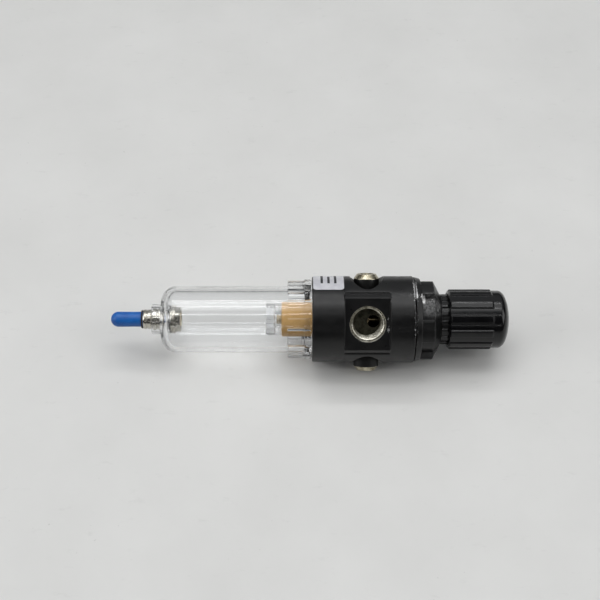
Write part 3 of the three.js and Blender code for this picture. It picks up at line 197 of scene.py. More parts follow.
def between(name, start, end):
    """A solid between two outlines with the same number of points."""
    count = len(start)
    sides = [[k, (k + 1) % count, count + (k + 1) % count, count + k] for k in range(count)]
    return mesh_object(name, [*start, *end], [list(range(count)), list(range(count, 2 * count)), *sides])


def prism(name, outline, low, high):
    """An outline of [y, z] points carried along X."""
    return between(name, *([(x, y, z) for y, z in outline] for x in (low, high)))


def box(name, low, high):
    y0, y1, z0, z1 = low[1], high[1], low[2], high[2]
    return prism(name, [(y0, z0), (y1, z0), (y1, z1), (y0, z1)], low[0], high[0])


def sector(name, low, high, bore, radius, start, end, steps=24):
    """A sector of a ring about X, between two angles."""
    angles = [start + (end - start) * k / steps for k in range(steps + 1)]
    ring = [(-radius * cos(a), radius * sin(a)) for a in angles]
    ring += [(-bore * cos(a), bore * sin(a)) for a in reversed(angles)]
    return prism(name, ring, low, high)


def rod(name, low, high, radius, sides=64):
    return turned(name, [(low, 0), (low, radius), (high, radius), (high, 0)], sides)


def tube(name, low, high, bore, radius, edge=0.15, sides=64):
    outline = [(low, bore), (low, radius), (high, radius), (high, bore)]
    return turned(name, rounded(outline, edge, closed=True), sides, closed=True)


TOWARDS = {
    "outlet": Matrix.Rotation(-pi / 2, 4, "Z"),
    "inlet": Matrix.Rotation(pi / 2, 4, "Z"),
    "front": Matrix.Rotation(-pi / 2, 4, "Y"),
    "rear": Matrix.Rotation(pi / 2, 4, "Y"),
}


def pointed(piece, direction, shift=(0, 0, 0)):
    piece.data.transform(Matrix.Translation(shift) @ TOWARDS[direction])
    return piece


def around(pieces):
    """Turns each piece about X to its own place in an evenly spaced row."""
    for k, piece in enumerate(pieces):
        piece.data.transform(Matrix.Rotation(TAU * k / len(pieces), 4, "X"))
    return pieces


def apply_modifiers(piece):
    graph = bpy.context.evaluated_depsgraph_get()
    made = bpy.data.meshes.new_from_object(piece.evaluated_get(graph))
    piece.modifiers.clear()
    piece.data = made


def combined(piece, tools, operation):
    """Joins the tools to a piece or cuts them from it, and removes them."""
    for tool in tools:
        step = piece.modifiers.new("boolean", "BOOLEAN")
        step.operation, step.solver, step.object = operation, "EXACT", tool
        apply_modifiers(piece)
        bpy.data.objects.remove(tool)


def cast(piece, voxel, passes):
    """Turns sharp machined edges into the soft edges of a casting."""
    remesh = piece.modifiers.new("remesh", "REMESH")
    remesh.mode, remesh.voxel_size = "VOXEL", voxel
    soften = piece.modifiers.new("soften", "SMOOTH")
    soften.factor, soften.iterations = 0.5, passes
    apply_modifiers(piece)
    piece.data.shade_smooth()


def helix(name, low, high, radius, wire, turns, steps=20, sides=10):
    """A spring along X whose end coils lie flat."""
    rings = int(turns * steps)
    points, faces = [], []
    for i in range(rings + 1):
        t = i / rings
        x = low + wire / 2 + (high - low - wire) * smoothstep(-0.12, 1.12, t)
        angle = TAU * turns * t
        out = Vector((0, -cos(angle), sin(angle)))
        for k in range(sides):
            a = TAU * k / sides
            points.append(Vector((x, 0, 0)) + out * (radius + wire / 2 * cos(a)))
            points[-1].x += wire / 2 * sin(a)
    for i in range(rings):
        for k in range(sides):
            n = (k + 1) % sides
            faces.append([i * sides + k, i * sides + n, (i + 1) * sides + n, (i + 1) * sides + k])
    faces.append(list(range(sides)))
    faces.append(list(range(rings * sides, (rings + 1) * sides)))
    return mesh_object(name, points, faces, 50)


def place(piece, finish, node=None, body="housing"):
    """Puts a piece into the frame: where it lies, its finish, its body and the CAD node it stands for."""
    slot, *materials = finish
    piece.data.transform(UNIT)
    piece.data.materials.clear()
    for made in materials:
        piece.data.materials.append(made)
    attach(piece, body)
    if node:
        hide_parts(node)


def give_second_material(piece, where):
    """Faces whose middle fits where(x, y, z), in the unit's own frame, take the piece's second material."""
    back = UNIT.inverted()
    for face in piece.data.polygons:
        face.material_index = int(where(*(back @ face.center)))


# ---- materials
class Nodes:
    """Short names for a material's nodes. Texture coordinates are the row frame's, in millimetres."""

    def __init__(self, name):
        self.material = bpy.data.materials.new(name)
        self.material.use_nodes = True
        self.tree = self.material.node_tree
        self.shader = self.tree.nodes["Principled BSDF"]
        place = self.node("TexCoord", "Object", {})
        self.place = self.node("VectorMath", 0, {0: place, "Scale": 1 / MM}, operation="SCALE")

    def feed(self, socket, value):
        """Gives a socket a constant, or links another node's output to it."""
        if isinstance(value, bpy.types.NodeSocket):
            self.tree.links.new(value, socket)
        elif socket.type == "RGBA" and len(value) == 3:
            socket.default_value = (*value, 1)
        else:
            socket.default_value = value

    def node(self, kind, output, inputs, **settings):
        """Adds a node and returns one of its outputs."""
        node = self.tree.nodes.new("ShaderNode" + kind)
        for name, value in settings.items():
            setattr(node, name, value)
        for name, value in inputs.items():
            self.feed(node.inputs[name], value)
        return node.outputs[output]

    def set(self, **values):
        """Feeds the shader's own inputs."""
        for name, value in values.items():
            self.feed(self.shader.inputs[name.replace("_", " ")], value)

    def noise(self, scale, detail=3, roughness=0.55, stretch=None):
        """Noise with about scale features for each millimetre."""
        place = self.place
        if stretch:
            place = self.node("VectorMath", 0, {0: place, 1: stretch}, operation="MULTIPLY")
        inputs = {"Scale": scale, "Detail": detail, "Roughness": roughness, "Vector": place}
        return self.node("TexNoise", "Fac", inputs)

    def cells(self, scale):
        return self.node("TexVoronoi", "Distance", {"Scale": scale, "Vector": self.place})

    def ramp(self, value, low, high, out_low=0.0, out_high=1.0):
        inputs = {"From Min": low, "From Max": high, "To Min": out_low, "To Max": out_high, "Value": value}
        return self.node("MapRange", "Result", inputs)

    def times(self, one, two):
        return self.node("Math", 0, {0: one, 1: two}, operation="MULTIPLY")

    def plus(self, one, two):
        return self.node("Math", 0, {0: one, 1: two}, operation="ADD")

    def mask(self, name):
        return self.node("Attribute", "Fac", {}, attribute_name=name)

    def mix(self, factor, one, two):
        return self.node("Mix", "Result", {"Factor": factor, "A": one, "B": two}, data_type="RGBA")

    def bump(self, height, distance, strength=1.0):
        """Adds a bump on top of the ones already there."""
        inputs = {"Distance": distance * MM, "Strength": strength, "Height": height}
        previous = self.shader.inputs["Normal"].links
        if previous:
            inputs["Normal"] = previous[0].from_socket
        self.set(Normal=self.node("Bump", "Normal", inputs))


DUST, SCUFFED = (0.2, 0.2, 0.2), (0.16, 0.16, 0.16)
LAMP_TINT = (0.955, 0.955, 0.955)  # what one wall of clear plastic lets through of a lamp's light


def black_finish(name, dark, light, roughness, dusty, worn=None):
    """Black paint or plastic with a fine grain, smudges and specks of dust.

    worn is the colour under it: bare where the wear mask is set, and dulled where the scuff mask is.
    """
    n = Nodes(name)
    color = n.mix(n.ramp(n.noise(0.12, 4), 0.35, 0.7), dark, light)
    color = n.mix(n.ramp(n.noise(2.3, 2), 0.72, 0.78, 0, dusty), color, DUST)
    rough = n.ramp(n.noise(0.35, 5), 0.3, 0.7, roughness - 0.06, roughness + 0.08)
    if worn:
        scuff = n.times(n.mask("scuff"), n.ramp(n.noise(1.1, 6, 0.7), 0.4, 0.64))
        color = n.mix(scuff, color, SCUFFED)
        rough = n.plus(rough, n.times(scuff, 0.25))
        flecks = n.ramp(n.noise(1.7, 6, 0.7), 0.53, 0.62)
        bare = n.ramp(n.plus(n.times(n.mask("wear"), 1.1), flecks), 1.25, 1.5)
        color = n.mix(bare, color, worn)
        n.set(Metallic=n.ramp(bare, 0, 1, 0, 0.25))
        n.bump(bare, 0.03, -0.6)
    n.bump(n.noise(4, 2), 0.01, 0.1)
    n.set(Base_Color=color, Roughness=rough, Specular_IOR_Level=0.4)
    return n.material


def metal(name, color, shade, roughness, tarnish=0.4, marks=0.35):
    """Turned metal with fine tool marks and a patchy tarnish."""
    n = Nodes(name)
    patches = n.ramp(n.noise(0.5, 5, 0.65), 0.45, 0.65, 0, tarnish)
    rough = n.ramp(n.noise(1.3, 4), 0.3, 0.7, roughness - 0.07, roughness + 0.12)
    n.set(Base_Color=n.mix(patches, color, shade), Roughness=rough, Metallic=1.0)
    n.bump(n.noise(1.0, 3, 0.6, (12, 0.6, 0.6)), 0.01, marks)
    n.bump(n.noise(4, 2), 0.01, marks / 2)
    return n.material


def let_lamps_through(n):
    """Rays from lamps cross the plastic unbent, so that what lies behind and under it is lit."""
    to_lamp = n.node("LightPath", "Is Shadow Ray", {})
    clear = n.node("BsdfTransparent", 0, {"Color": LAMP_TINT})
    mixed = n.node("MixShader", 0, {0: to_lamp, 1: n.shader.outputs[0], 2: clear})
    n.feed(n.tree.nodes["Material Output"].inputs["Surface"], mixed)


def clear_plastic(name, tint, roughness, haze):
    """Clear polycarbonate with fine scratches along it and a little haze."""
    n = Nodes(name)
    rough = n.ramp(n.noise(0.25, 5), 0.4, 0.75, roughness, roughness + haze)
    n.set(Base_Color=tint, IOR=1.58, Transmission_Weight=1.0, Roughness=rough)
    n.bump(n.ramp(n.noise(1.1, 2, 0.5, (0.08, 6, 6)), 0.66, 0.7), 0.01, -0.02)
    let_lamps_through(n)
    return n.material


def rubber(name, color):
    n = Nodes(name)
    rough = n.ramp(n.noise(2, 3), 0.3, 0.7, 0.6, 0.85)
    n.set(Base_Color=n.mix(n.noise(0.8, 4), color, tuple(2 * c for c in color)), Roughness=rough)
    n.bump(n.noise(6, 3), 0.02, 0.3)
    return n.material


def blue_vinyl():
    n = Nodes("blue_vinyl")
    color = n.mix(n.ramp(n.noise(0.3, 4), 0.3, 0.7), (0.003, 0.085, 0.36), (0.006, 0.135, 0.48))
    color = n.mix(n.ramp(n.noise(2.5, 3), 0.66, 0.74, 0, 0.5), color, (0.12, 0.28, 0.62))
    n.set(Base_Color=color, Roughness=n.ramp(n.noise(0.7, 4), 0.3, 0.7, 0.34, 0.5))
    n.set(Subsurface_Weight=0.08, Subsurface_Scale=0.0008)
    n.bump(n.noise(0.5, 3), 0.08, 0.2)
    n.bump(n.noise(7, 2), 0.01, 0.25)
    return n.material


def sintered_bronze():
    n = Nodes("sintered_bronze")
    grains = n.cells(3.6)
    color = n.mix(n.ramp(grains, 0.05, 0.55), (0.78, 0.5, 0.19), (0.42, 0.25, 0.085))
    color = n.mix(n.ramp(n.noise(0.5, 4), 0.35, 0.7, 0, 0.5), color, (0.62, 0.38, 0.14))
    n.set(Base_Color=color, Roughness=n.ramp(grains, 0, 0.6, 0.5, 0.85), Metallic=0.1)
    n.bump(n.ramp(grains, 0, 0.6, 1, 0), 0.08, 0.6)
    return n.material


def label_film():
    n = Nodes("label_film")
    color = n.mix(n.ramp(n.noise(0.4, 4), 0.35, 0.7), (0.62, 0.62, 0.66), (0.74, 0.74, 0.77))
    color = n.mix(n.ramp(n.noise(3, 4), 0.66, 0.74, 0, 0.4), color, (0.25, 0.25, 0.26))
    n.set(Base_Color=color, Roughness=n.ramp(n.noise(1, 4), 0.3, 0.7, 0.3, 0.45), Metallic=0.25)
    n.bump(n.noise(4, 2), 0.01, 0.2)
    return n.material


def plain_moulding(name, color):
    n = Nodes(name)
    rough = n.ramp(n.noise(1.5, 3), 0.3, 0.7, 0.4, 0.55)
    n.set(Base_Color=n.mix(n.noise(0.5, 4), color, tuple(0.85 * c for c in color)), Roughness=rough)
    n.bump(n.noise(3, 3), 0.02, 0.25)
    return n.material


# each finish: the slot's name, then its materials
CAST_BLACK = (
    "cast_black",
    black_finish("cast_black", (0.002, 0.002, 0.0022), (0.005, 0.005, 0.005), 0.33, 0.06, (0.55, 0.55, 0.55)),
)
BONNET_BLACK = (
    "bonnet_black",
    black_finish("bonnet_black", (0.0025, 0.0025, 0.0028), (0.006,) * 3, 0.33, 0.06, (0.65, 0.65, 0.65)),
)
KNOB_BLACK = (
    "knob_black",
    black_finish("knob_black", (0.002, 0.002, 0.0024), (0.004, 0.004, 0.0045), 0.17, 0.015),
)
# the second material is painted shade: a darker copy of the bare metal for the floor deep in each port
PORT_METAL_AND_PAINTED_SHADE = (
    "plug_metal",
    metal("bare_casting", (0.62, 0.6, 0.53), (0.2, 0.19, 0.14), 0.3, 0.9),
    metal("port_floor_painted_shade", (0.12, 0.115, 0.085), (0.035, 0.035, 0.025), 0.5, 0.9),
)
NICKEL = "nickel", metal("nickel", (0.6, 0.58, 0.52), (0.46, 0.42, 0.33), 0.2, 0.2, 0.04)
BRASS = "brass", metal("brass", (0.62, 0.5, 0.3), (0.36, 0.27, 0.15), 0.3)
# the second material is painted shade: near-black on each plug's lower flank, where it lies in shade and
# mirrors the dark body
PLUG_METAL_AND_PAINTED_SHADE = (
    "plug_metal",
    metal("plug_metal", (0.58, 0.54, 0.42), (0.2, 0.17, 0.11), 0.3, 0.9),
    black_finish("plug_painted_shade", (0.002, 0.002, 0.002), (0.006, 0.006, 0.0055), 0.4, 0.06),
)
STEEL = "steel", metal("steel", (0.56, 0.56, 0.57), (0.36, 0.35, 0.34), 0.3)
CLEAR = "clear_plastic", clear_plastic("clear_plastic", (0.975, 0.98, 0.985), 0.01, 0.015)
FROSTED = "clear_plastic", clear_plastic("frosted_plastic", (0.97, 0.975, 0.98), 0.12, 0.08)
RUBBER = "rubber_black", rubber("black_rubber", (0.012, 0.012, 0.013))
BLUE = "blue_vinyl", blue_vinyl()
SINTERED = "sintered", sintered_bronze()
FILM = "label_film", label_film()
INK = "label_film", plain_moulding("label_ink", (0.03, 0.03, 0.035))
ACETAL = "acetal", plain_moulding("acetal", (0.72, 0.7, 0.66))

# ---- sizes that follow the CAD nodes
BODY_LOW, BODY_HIGH = span("body")
BODY_RADIUS, COLLAR_RADIUS = 16.15, 15.95
OUTSIDE = BODY_RADIUS + 1  # where a cut into the body starts
BLOCK_LOW, BLOCK_HIGH = -8.5, 8.25
FACE_HALF, BEVEL, GROOVE, GROOVE_DEPTH = 9.6, 1.1, 1.1, 0.8
BOSS_HALF = FACE_HALF + BEVEL
BEVEL_FOOT = sqrt(BODY_RADIUS**2 - BOSS_HALF**2)
PORT_MOUTH, PORT_BORE, PORT_END, PORT_DEPTH = 6.75, 6.25, 5.5, 8.3
PORT_FLOOR = PORT_FACE - PORT_DEPTH
DUCT_SHIFT = 2.4  # the outlet's duct lies this far towards the knob
POCKET_AXIAL, POCKET_ROUND, POCKET_FLOOR = 6.35, 10.2, 11.6
PLUG_RADIUS, PLUG_RIM, PLUG_TAPER = 4.7, 3.55, 1.6
PLUG_THREAD, PLUG_THREAD_LOW = 4.3, 7.3
PLUG_SOCKET, PLUG_SOCKET_DEPTH = 2.6, 3
PARTITION = -10.5
BORES = (  # name, low, high, radius and sides of each bore along the axis
    ("bowl_cut", BODY_LOW - 1, PARTITION, 13.2, 128),
    ("valve_cut", PARTITION - 1, 0.9, 4.2, 64),
    ("throat_cut", 0, 3, 2.6, 64),
    ("chamber_cut", 2.2, 14, 4.5, 64),
    ("diaphragm_cut", 13, BODY_HIGH + 1, 12.6, 128),
)


# ---- body
def port_face_cuts():
    """What the flat of each port leaves of the round body, with a groove along both sides of it."""
    rim = [(BEVEL_FOOT, -BOSS_HALF), (OUTSIDE, -BOSS_HALF), (OUTSIDE, BOSS_HALF), (BEVEL_FOOT, BOSS_HALF)]
    rim += [(PORT_FACE, FACE_HALF), (PORT_FACE, -FACE_HALF)]
    tools = []
    for side in (-1, 1):
        tools.append(prism("face_cut", [(side * y, z) for y, z in rim], BLOCK_LOW, BLOCK_HIGH))
        for end in (-1, 1):
            y0, y1 = sorted((side * (BEVEL_FOOT - GROOVE_DEPTH), side * OUTSIDE))
            z0, z1 = sorted((end * BOSS_HALF, end * (BOSS_HALF + GROOVE)))
            tools.append(box("groove_cut", (BLOCK_LOW, y0, z0), (BLOCK_HIGH, y1, z1)))
    return tools


def port_cut(direction):
    outline = [(PORT_FLOOR, 0), (PORT_FLOOR, PORT_END), (PORT_FACE - 0.6, PORT_BORE), (PORT_FACE, PORT_MOUTH)]
    outline += [(PORT_FACE + 1, PORT_MOUTH), (PORT_FACE + 1, 0)]
    return pointed(turned("port_cut", outline, 64), direction)


def pocket_cut(side):
    """The oval hollow round a gauge plug: side is 1 for the front and -1 for the rear."""
    ring = [(POCKET_AXIAL * cos(a), POCKET_ROUND * sin(a)) for a in even_angles(64)]
    return between("pocket_cut", *([(x, y, side * z) for x, y in ring] for z in (POCKET_FLOOR, OUTSIDE)))


def paint(piece, name, mask):
    """Sets a mask at each point: wear is 1 where the black is scraped off, scuff where it is only dulled."""
    attribute = piece.data.attributes.new(name, "FLOAT", "POINT")
    values = [mask(*v.co) for v in piece.data.vertices]
    attribute.data.foreach_set("value", values)


def angle_of(y, z):
    """A point's angle from the outlet port towards the front gauge port, in degrees from -180 to 180."""
    return degrees(atan2(z, -y))


def seam_wear(angle):
    """How worn the seam between body and bonnet is: badly below the front gauge port, less further round."""
    return max(1.25 * band(angle, 24, 40, 62, 78), 0.6 * band(angle, -20, -12, 8, 14), 0.35)


def body_wear(x, y, z):
    edge = smoothstep(BODY_HIGH - 1, BODY_HIGH - 0.5, x) * smoothstep(15, 15.6, hypot(y, z))
    return seam_wear(angle_of(y, z)) * edge


def make_body():
    collar = [(BODY_LOW, 0), (BODY_LOW, COLLAR_RADIUS), (BLOCK_LOW, COLLAR_RADIUS)]
    barrel = [(BLOCK_LOW, BODY_RADIUS), (BODY_HIGH, BODY_RADIUS), (BODY_HIGH, 0)]
    body = turned("body_casting", rounded([*collar, *barrel], 0.5), 180)
    bevel = [(PORT_FACE, FACE_HALF), (BEVEL_FOOT, BOSS_HALF)]
    corners = ((-1, -1, 1), (1, -1, -1), (1, 1, 1), (-1, 1, -1))
    boss = [(side_y * y, side_z * z) for side_y, side_z, order in corners for y, z in bevel[::order]]
    combined(body, [prism("port_boss", boss, BLOCK_LOW, BLOCK_HIGH)], "UNION")
    cuts = [*port_face_cuts(), port_cut("outlet"), port_cut("inlet"), pocket_cut(1), pocket_cut(-1)]
    for direction in ("front", "rear"):
        cuts.append(pointed(rod("gauge_cut", 7, OUTSIDE, PLUG_RADIUS + 0.15), direction))
    cuts += [rod(*bore) for bore in BORES]
    cuts.append(pointed(rod("outlet_duct", 0, PORT_FLOOR + 1, 2.4), "outlet", (DUCT_SHIFT, 0, 0)))
    inlet_duct = rod("inlet_duct", PARTITION - 1, -2.75, 2)
    inlet_duct.data.transform(Matrix.Translation((0, PORT_FLOOR + 3, 0)))
    combined(body, [*cuts, inlet_duct], "DIFFERENCE")
    cast(body, 0.17, 4)
    paint(body, "wear", body_wear)
    place(body, CAST_BLACK, "body")


def thread_shape(pitch, depth, sign=1, radius=None):
    """Moves points in along a helical thread with a rounded ridge: all of them, or those at one radius."""

    def shape(x, r, angle):
        if radius is not None and abs(r - radius) >= SAME:
            return x, r
        phase = (x / pitch + sign * angle / TAU) % 1
        ridge = abs(2 * phase - 1)
        return x, r - depth * smoothstep(0.15, 0.85, ridge)

    return shape


def make_port_lining(direction, name):
    """The bare thread and floor of a port, with the machined ring round its mouth."""
    pitch, depth, wall = 1.41, 0.5, 0.12
    floor, low, high = PORT_FLOOR + 0.06, PORT_FLOOR + 0.3, PORT_FACE - 0.65
    threads = thread_shape(pitch, depth)
    rows = int((high - low) / pitch * 14)

    def shape(x, r, angle):
        if r >= 0 or x > high:
            return x, abs(r)
        fade = band(x, low, low + 0.8, high - 0.7, high)
        return x, -r - fade * (-r - threads(x, -r, angle)[1])

    # a minus sign marks the threaded wall for shape()
    wall_rows = [low + (high - low) * k / rows for k in range(rows + 1)]
    wall_rows = [(x, wall - ramp(x, low, high, PORT_END, PORT_BORE)) for x in wall_rows]
    mouth = [(PORT_FACE - 0.12, PORT_MOUTH - wall), (PORT_FACE - 0.12, PORT_MOUTH - 0.04)]
    back = [(high, PORT_BORE - 0.04), (low, PORT_END - 0.04), (floor, PORT_END - 0.04), (floor, 0)]
    outline = [(floor + wall, 0), (floor + wall, PORT_END - wall - 0.05), *wall_rows, *mouth, *back]
    lining = turned(name, outline, 120, shape=shape, smooth=45)
    if direction == "outlet":
        duct = rod("duct", floor - 1, floor + 1, 2.3)
        duct.data.transform(Matrix.Translation((0, DUCT_SHIFT, 0)))
        combined(lining, [duct], "DIFFERENCE")
        tidy(lining, 45)
    pointed(lining, direction)
    place(lining, PORT_METAL_AND_PAINTED_SHADE)
    # faces of the floor, deep in the port, take the painted shade
    give_second_material(lining, lambda x, y, z: abs(y) < low)


def make_arrow():
    """A small raised arrow beside the outlet port, where the real casting carries a mark."""
    middle, shaft, head, tail, neck = 7.4, 0.28, 0.75, 3.2, -1.7
    outline = [(middle - shaft, tail), (middle + shaft, tail), (middle + shaft, neck), (middle + head, neck)]
    outline += [(middle, -tail), (middle - head, neck), (middle - shaft, neck)]
    depths = (PORT_FACE - 0.1, PORT_FACE + 0.16)
    arrow = between("flow_arrow", *([(x, -y, z) for x, z in outline] for y in depths))
    paint(arrow, "wear", lambda x, y, z: 0.85)
    place(arrow, CAST_BLACK)


LABEL_HALF_ANGLE, LABEL_CORNER = radians(40), 1.1
LABEL_UNDER, LABEL_TOP = COLLAR_RADIUS + 0.03, COLLAR_RADIUS + 0.19
BAR_REACH, BAR_ENDS, BAR_HALF_WIDTH = 34, (0.62, 0.45, 0.7), 0.45


def film_corner(u, v, reach, wide):
    """Draws a point of the film, given from -1 to 1 both ways, in to the film's rounded corners."""
    over_u, over_v = abs(u) * reach - (reach - LABEL_CORNER), abs(v) * wide - (wide - LABEL_CORNER)
    if over_u > 0 and over_v > 0 and hypot(over_u, over_v) > LABEL_CORNER:
        pull = LABEL_CORNER / hypot(over_u, over_v)
        u = copysign(reach - LABEL_CORNER + over_u * pull, u) / reach
        v = copysign(wide - LABEL_CORNER + over_v * pull, v) / wide
    return u, v


def make_label():
    """The silver film on the collar, below the front gauge port."""
    low, high = span("label")
    wide = (high - low) / 2
    columns, rows = 64, 24
    grid, points, faces = {}, [], []
    for level, radius in enumerate((LABEL_UNDER, LABEL_TOP)):
        for i in range(columns + 1):
            for j in range(rows + 1):
                u, v = 2 * i / columns - 1, 2 * j / rows - 1
                u, v = film_corner(u, v, LABEL_HALF_ANGLE * COLLAR_RADIUS, wide)
                angle = pi / 2 + u * LABEL_HALF_ANGLE
                grid[level, i, j] = len(points)
                x = (low + high) / 2 + v * wide
                points.append((x, -radius * cos(angle), radius * sin(angle)))
    for level in (0, 1):
        for i in range(columns):
            for j in range(rows):
                corners = [(i, j), (i + 1, j), (i + 1, j + 1), (i, j + 1)]
                faces.append([grid[(level, *corner)] for corner in corners])
    edge = [(i, 0) for i in range(columns)] + [(columns, j) for j in range(rows)]
    edge += [(i, rows) for i in range(columns, 0, -1)] + [(0, j) for j in range(rows, 0, -1)]
    for one, two in zip(edge, edge[1:] + edge[:1]):
        faces.append([grid[(0, *one)], grid[(0, *two)], grid[(1, *two)], grid[(1, *one)]])
    place(mesh_object("label_film", points, faces, 40), FILM, "label")
    make_label_bars(low, high)


def make_label_bars(low, high):
    """Plain grey bars where a label would carry its wording."""
    start = radians(90 - BAR_REACH + 2 * BAR_REACH * 0.1)
    for row, far in enumerate(BAR_ENDS):
        middle = low + (high - low) * (0.28 + 0.22 * row)
        end = radians(90 - BAR_REACH + 2 * BAR_REACH * far)
        sides = (middle - BAR_HALF_WIDTH, middle + BAR_HALF_WIDTH, LABEL_TOP - 0.02, LABEL_TOP + 0.02)
        place(sector(f"label_bar_{row + 1}", *sides, start, end), INK)


def make_gauge_plug(direction, node, reach, painted_shade_from):
    """A pipe plug with a six-sided socket and the last turns of its thread showing.

    reach is how far its end is from the unit's axis, and the last argument is how far down from there it is
    bare metal; below that the flank is painted shade in near-black.
    """
    outline = [(PLUG_THREAD_LOW, 0), *stretch(PLUG_THREAD_LOW, POCKET_FLOOR - 1.55, 0.08, PLUG_THREAD)]
    head = [(POCKET_FLOOR - 1, PLUG_RADIUS), (reach - PLUG_TAPER, PLUG_RADIUS), (reach, PLUG_RIM)]
    outline += [*rounded(head, 0.35), (reach, 2.8), (reach - 0.35, 2.45), (reach - 0.35, 0)]
    plug = turned(node + "_metal", outline, 96, shape=thread_shape(0.94, 0.3, radius=PLUG_THREAD))
    combined(plug, [rod("socket_cut", reach - PLUG_SOCKET_DEPTH, reach + 1, PLUG_SOCKET, 6)], "DIFFERENCE")
    tidy(plug, 30)
    pointed(plug, direction)
    place(plug, PLUG_METAL_AND_PAINTED_SHADE, node)
    # the flank below the bare end takes the painted shade
    give_second_material(plug, lambda x, y, z: abs(z) < reach - painted_shade_from)


# ---- bonnet
LUG_COUNT, LUG_ANGLE, LUG_START = 5, radians(32), radians(61)
SPLINE_COUNT = 18


def bonnet_wear(x, y, z):
    r = hypot(y, z)
    angle = angle_of(y, z)
    rim = smoothstep(15.1, 15.6, r) * (1 - smoothstep(17.9, 18.5, x))
    chip = band(x, 19.4, 19.8, 20.9, 21.4) * band(angle, 30, 36, 44, 48)
    edge = band(angle, 36, 39, 43, 46) * smoothstep(12.2, 12.8, r)
    lug = smoothstep(14.6, 15, r) * smoothstep(23.6, 24.4, x)
    return seam_wear(angle) * rim + 1.3 * chip + 0.8 * edge + 0.4 * lug


def bonnet_scuff(x, y, z):
    return band(angle_of(y, z), 8, 20, 42, 50) * band(x, 19.8, 20.8, 26.5, 27.4)


def off_nearest(angle, period, first=0.0):
    """How far an angle is from the nearest of an evenly spaced row."""
    return abs((angle - first + period / 2) % period - period / 2)


def within(off, half, soft):
    """1 less than half a width off a middle, 0 further off, with a soft edge."""
    return 1 - smoothstep(half - soft, half + soft, off)


def make_bonnet():
    low, high = span("bonnet")
    flange_low, flange_high, cone_low, shoulder = BODY_HIGH + 0.2, BODY_HIGH + 2.5, 24.6, 27.4
    lug_high, spline_high = 24.4, 30
    flange, flange_end, barrel, lug, spline, neck = 15.8, 15.3, 12.6, 15.15, 9.35, 8.9
    cavity_flat, cavity_low, cavity_high = 7.9 * cos(pi / 6), 19.6, 33.4
    skirt, mouth, screw_hole = 12.3, 9.6, 3.05

    def shape(x, r, angle):
        if r < 0:  # a mark for the six-sided cavity
            corner = (angle - radians(30)) % radians(60)
            return x, cavity_flat / cos(corner - radians(30))
        if r == barrel and x > flange_high:
            here = ramp(x, cone_low, shoulder, barrel, spline)
            there = ramp(x, lug_high, shoulder, lug, spline)
            on_lug = within(off_nearest(angle, TAU / LUG_COUNT, LUG_START), LUG_ANGLE / 2, 0.012)
            return x, here + (max(there, here) - here) * on_lug
        if r == spline:
            return x, neck + (spline - neck) * within(off_nearest(angle, TAU / SPLINE_COUNT), 0.07, 0.01)
        return x, r

    rows, start, length = 36, flange_high + 0.01, shoulder - flange_high - 0.02
    outside = [(low, skirt), (flange_low, skirt), (flange_low, flange - 0.25), (flange_low + 0.25, flange)]
    outside += [(flange_high - 0.25, flange_end), (flange_high, flange_end - 0.25)]
    outside += [(start + length * k / rows, barrel) for k in range(rows + 1)]
    outside += [(shoulder + 0.05, spline), (spline_high - 0.15, spline), (spline_high, neck)]
    outside += [(high - 0.3, neck), (high, neck - 0.3)]
    inside = [(high, screw_hole), (cavity_high, screw_hole), (cavity_high, -1), (cavity_low, -1)]
    inside += [(cavity_low, mouth), (low, mouth)]
    bonnet = turned("bonnet_casting", [*outside, *inside], 720, closed=True, shape=shape)
    cast(bonnet, 0.13, 2)
    paint(bonnet, "wear", bonnet_wear)
    paint(bonnet, "scuff", bonnet_scuff)
    place(bonnet, BONNET_BLACK, "bonnet")


# ---- knob
RIB_COUNT, RIB_START = 12, radians(7.5)
RIB_LOW, RIB_HIGH, RIB_HEIGHT = 30.7, 46.5, 0.45
TOOTH_LOW, TOOTH_HIGH, TOOTH_DEPTH = 30.4, 32.4, 0.7


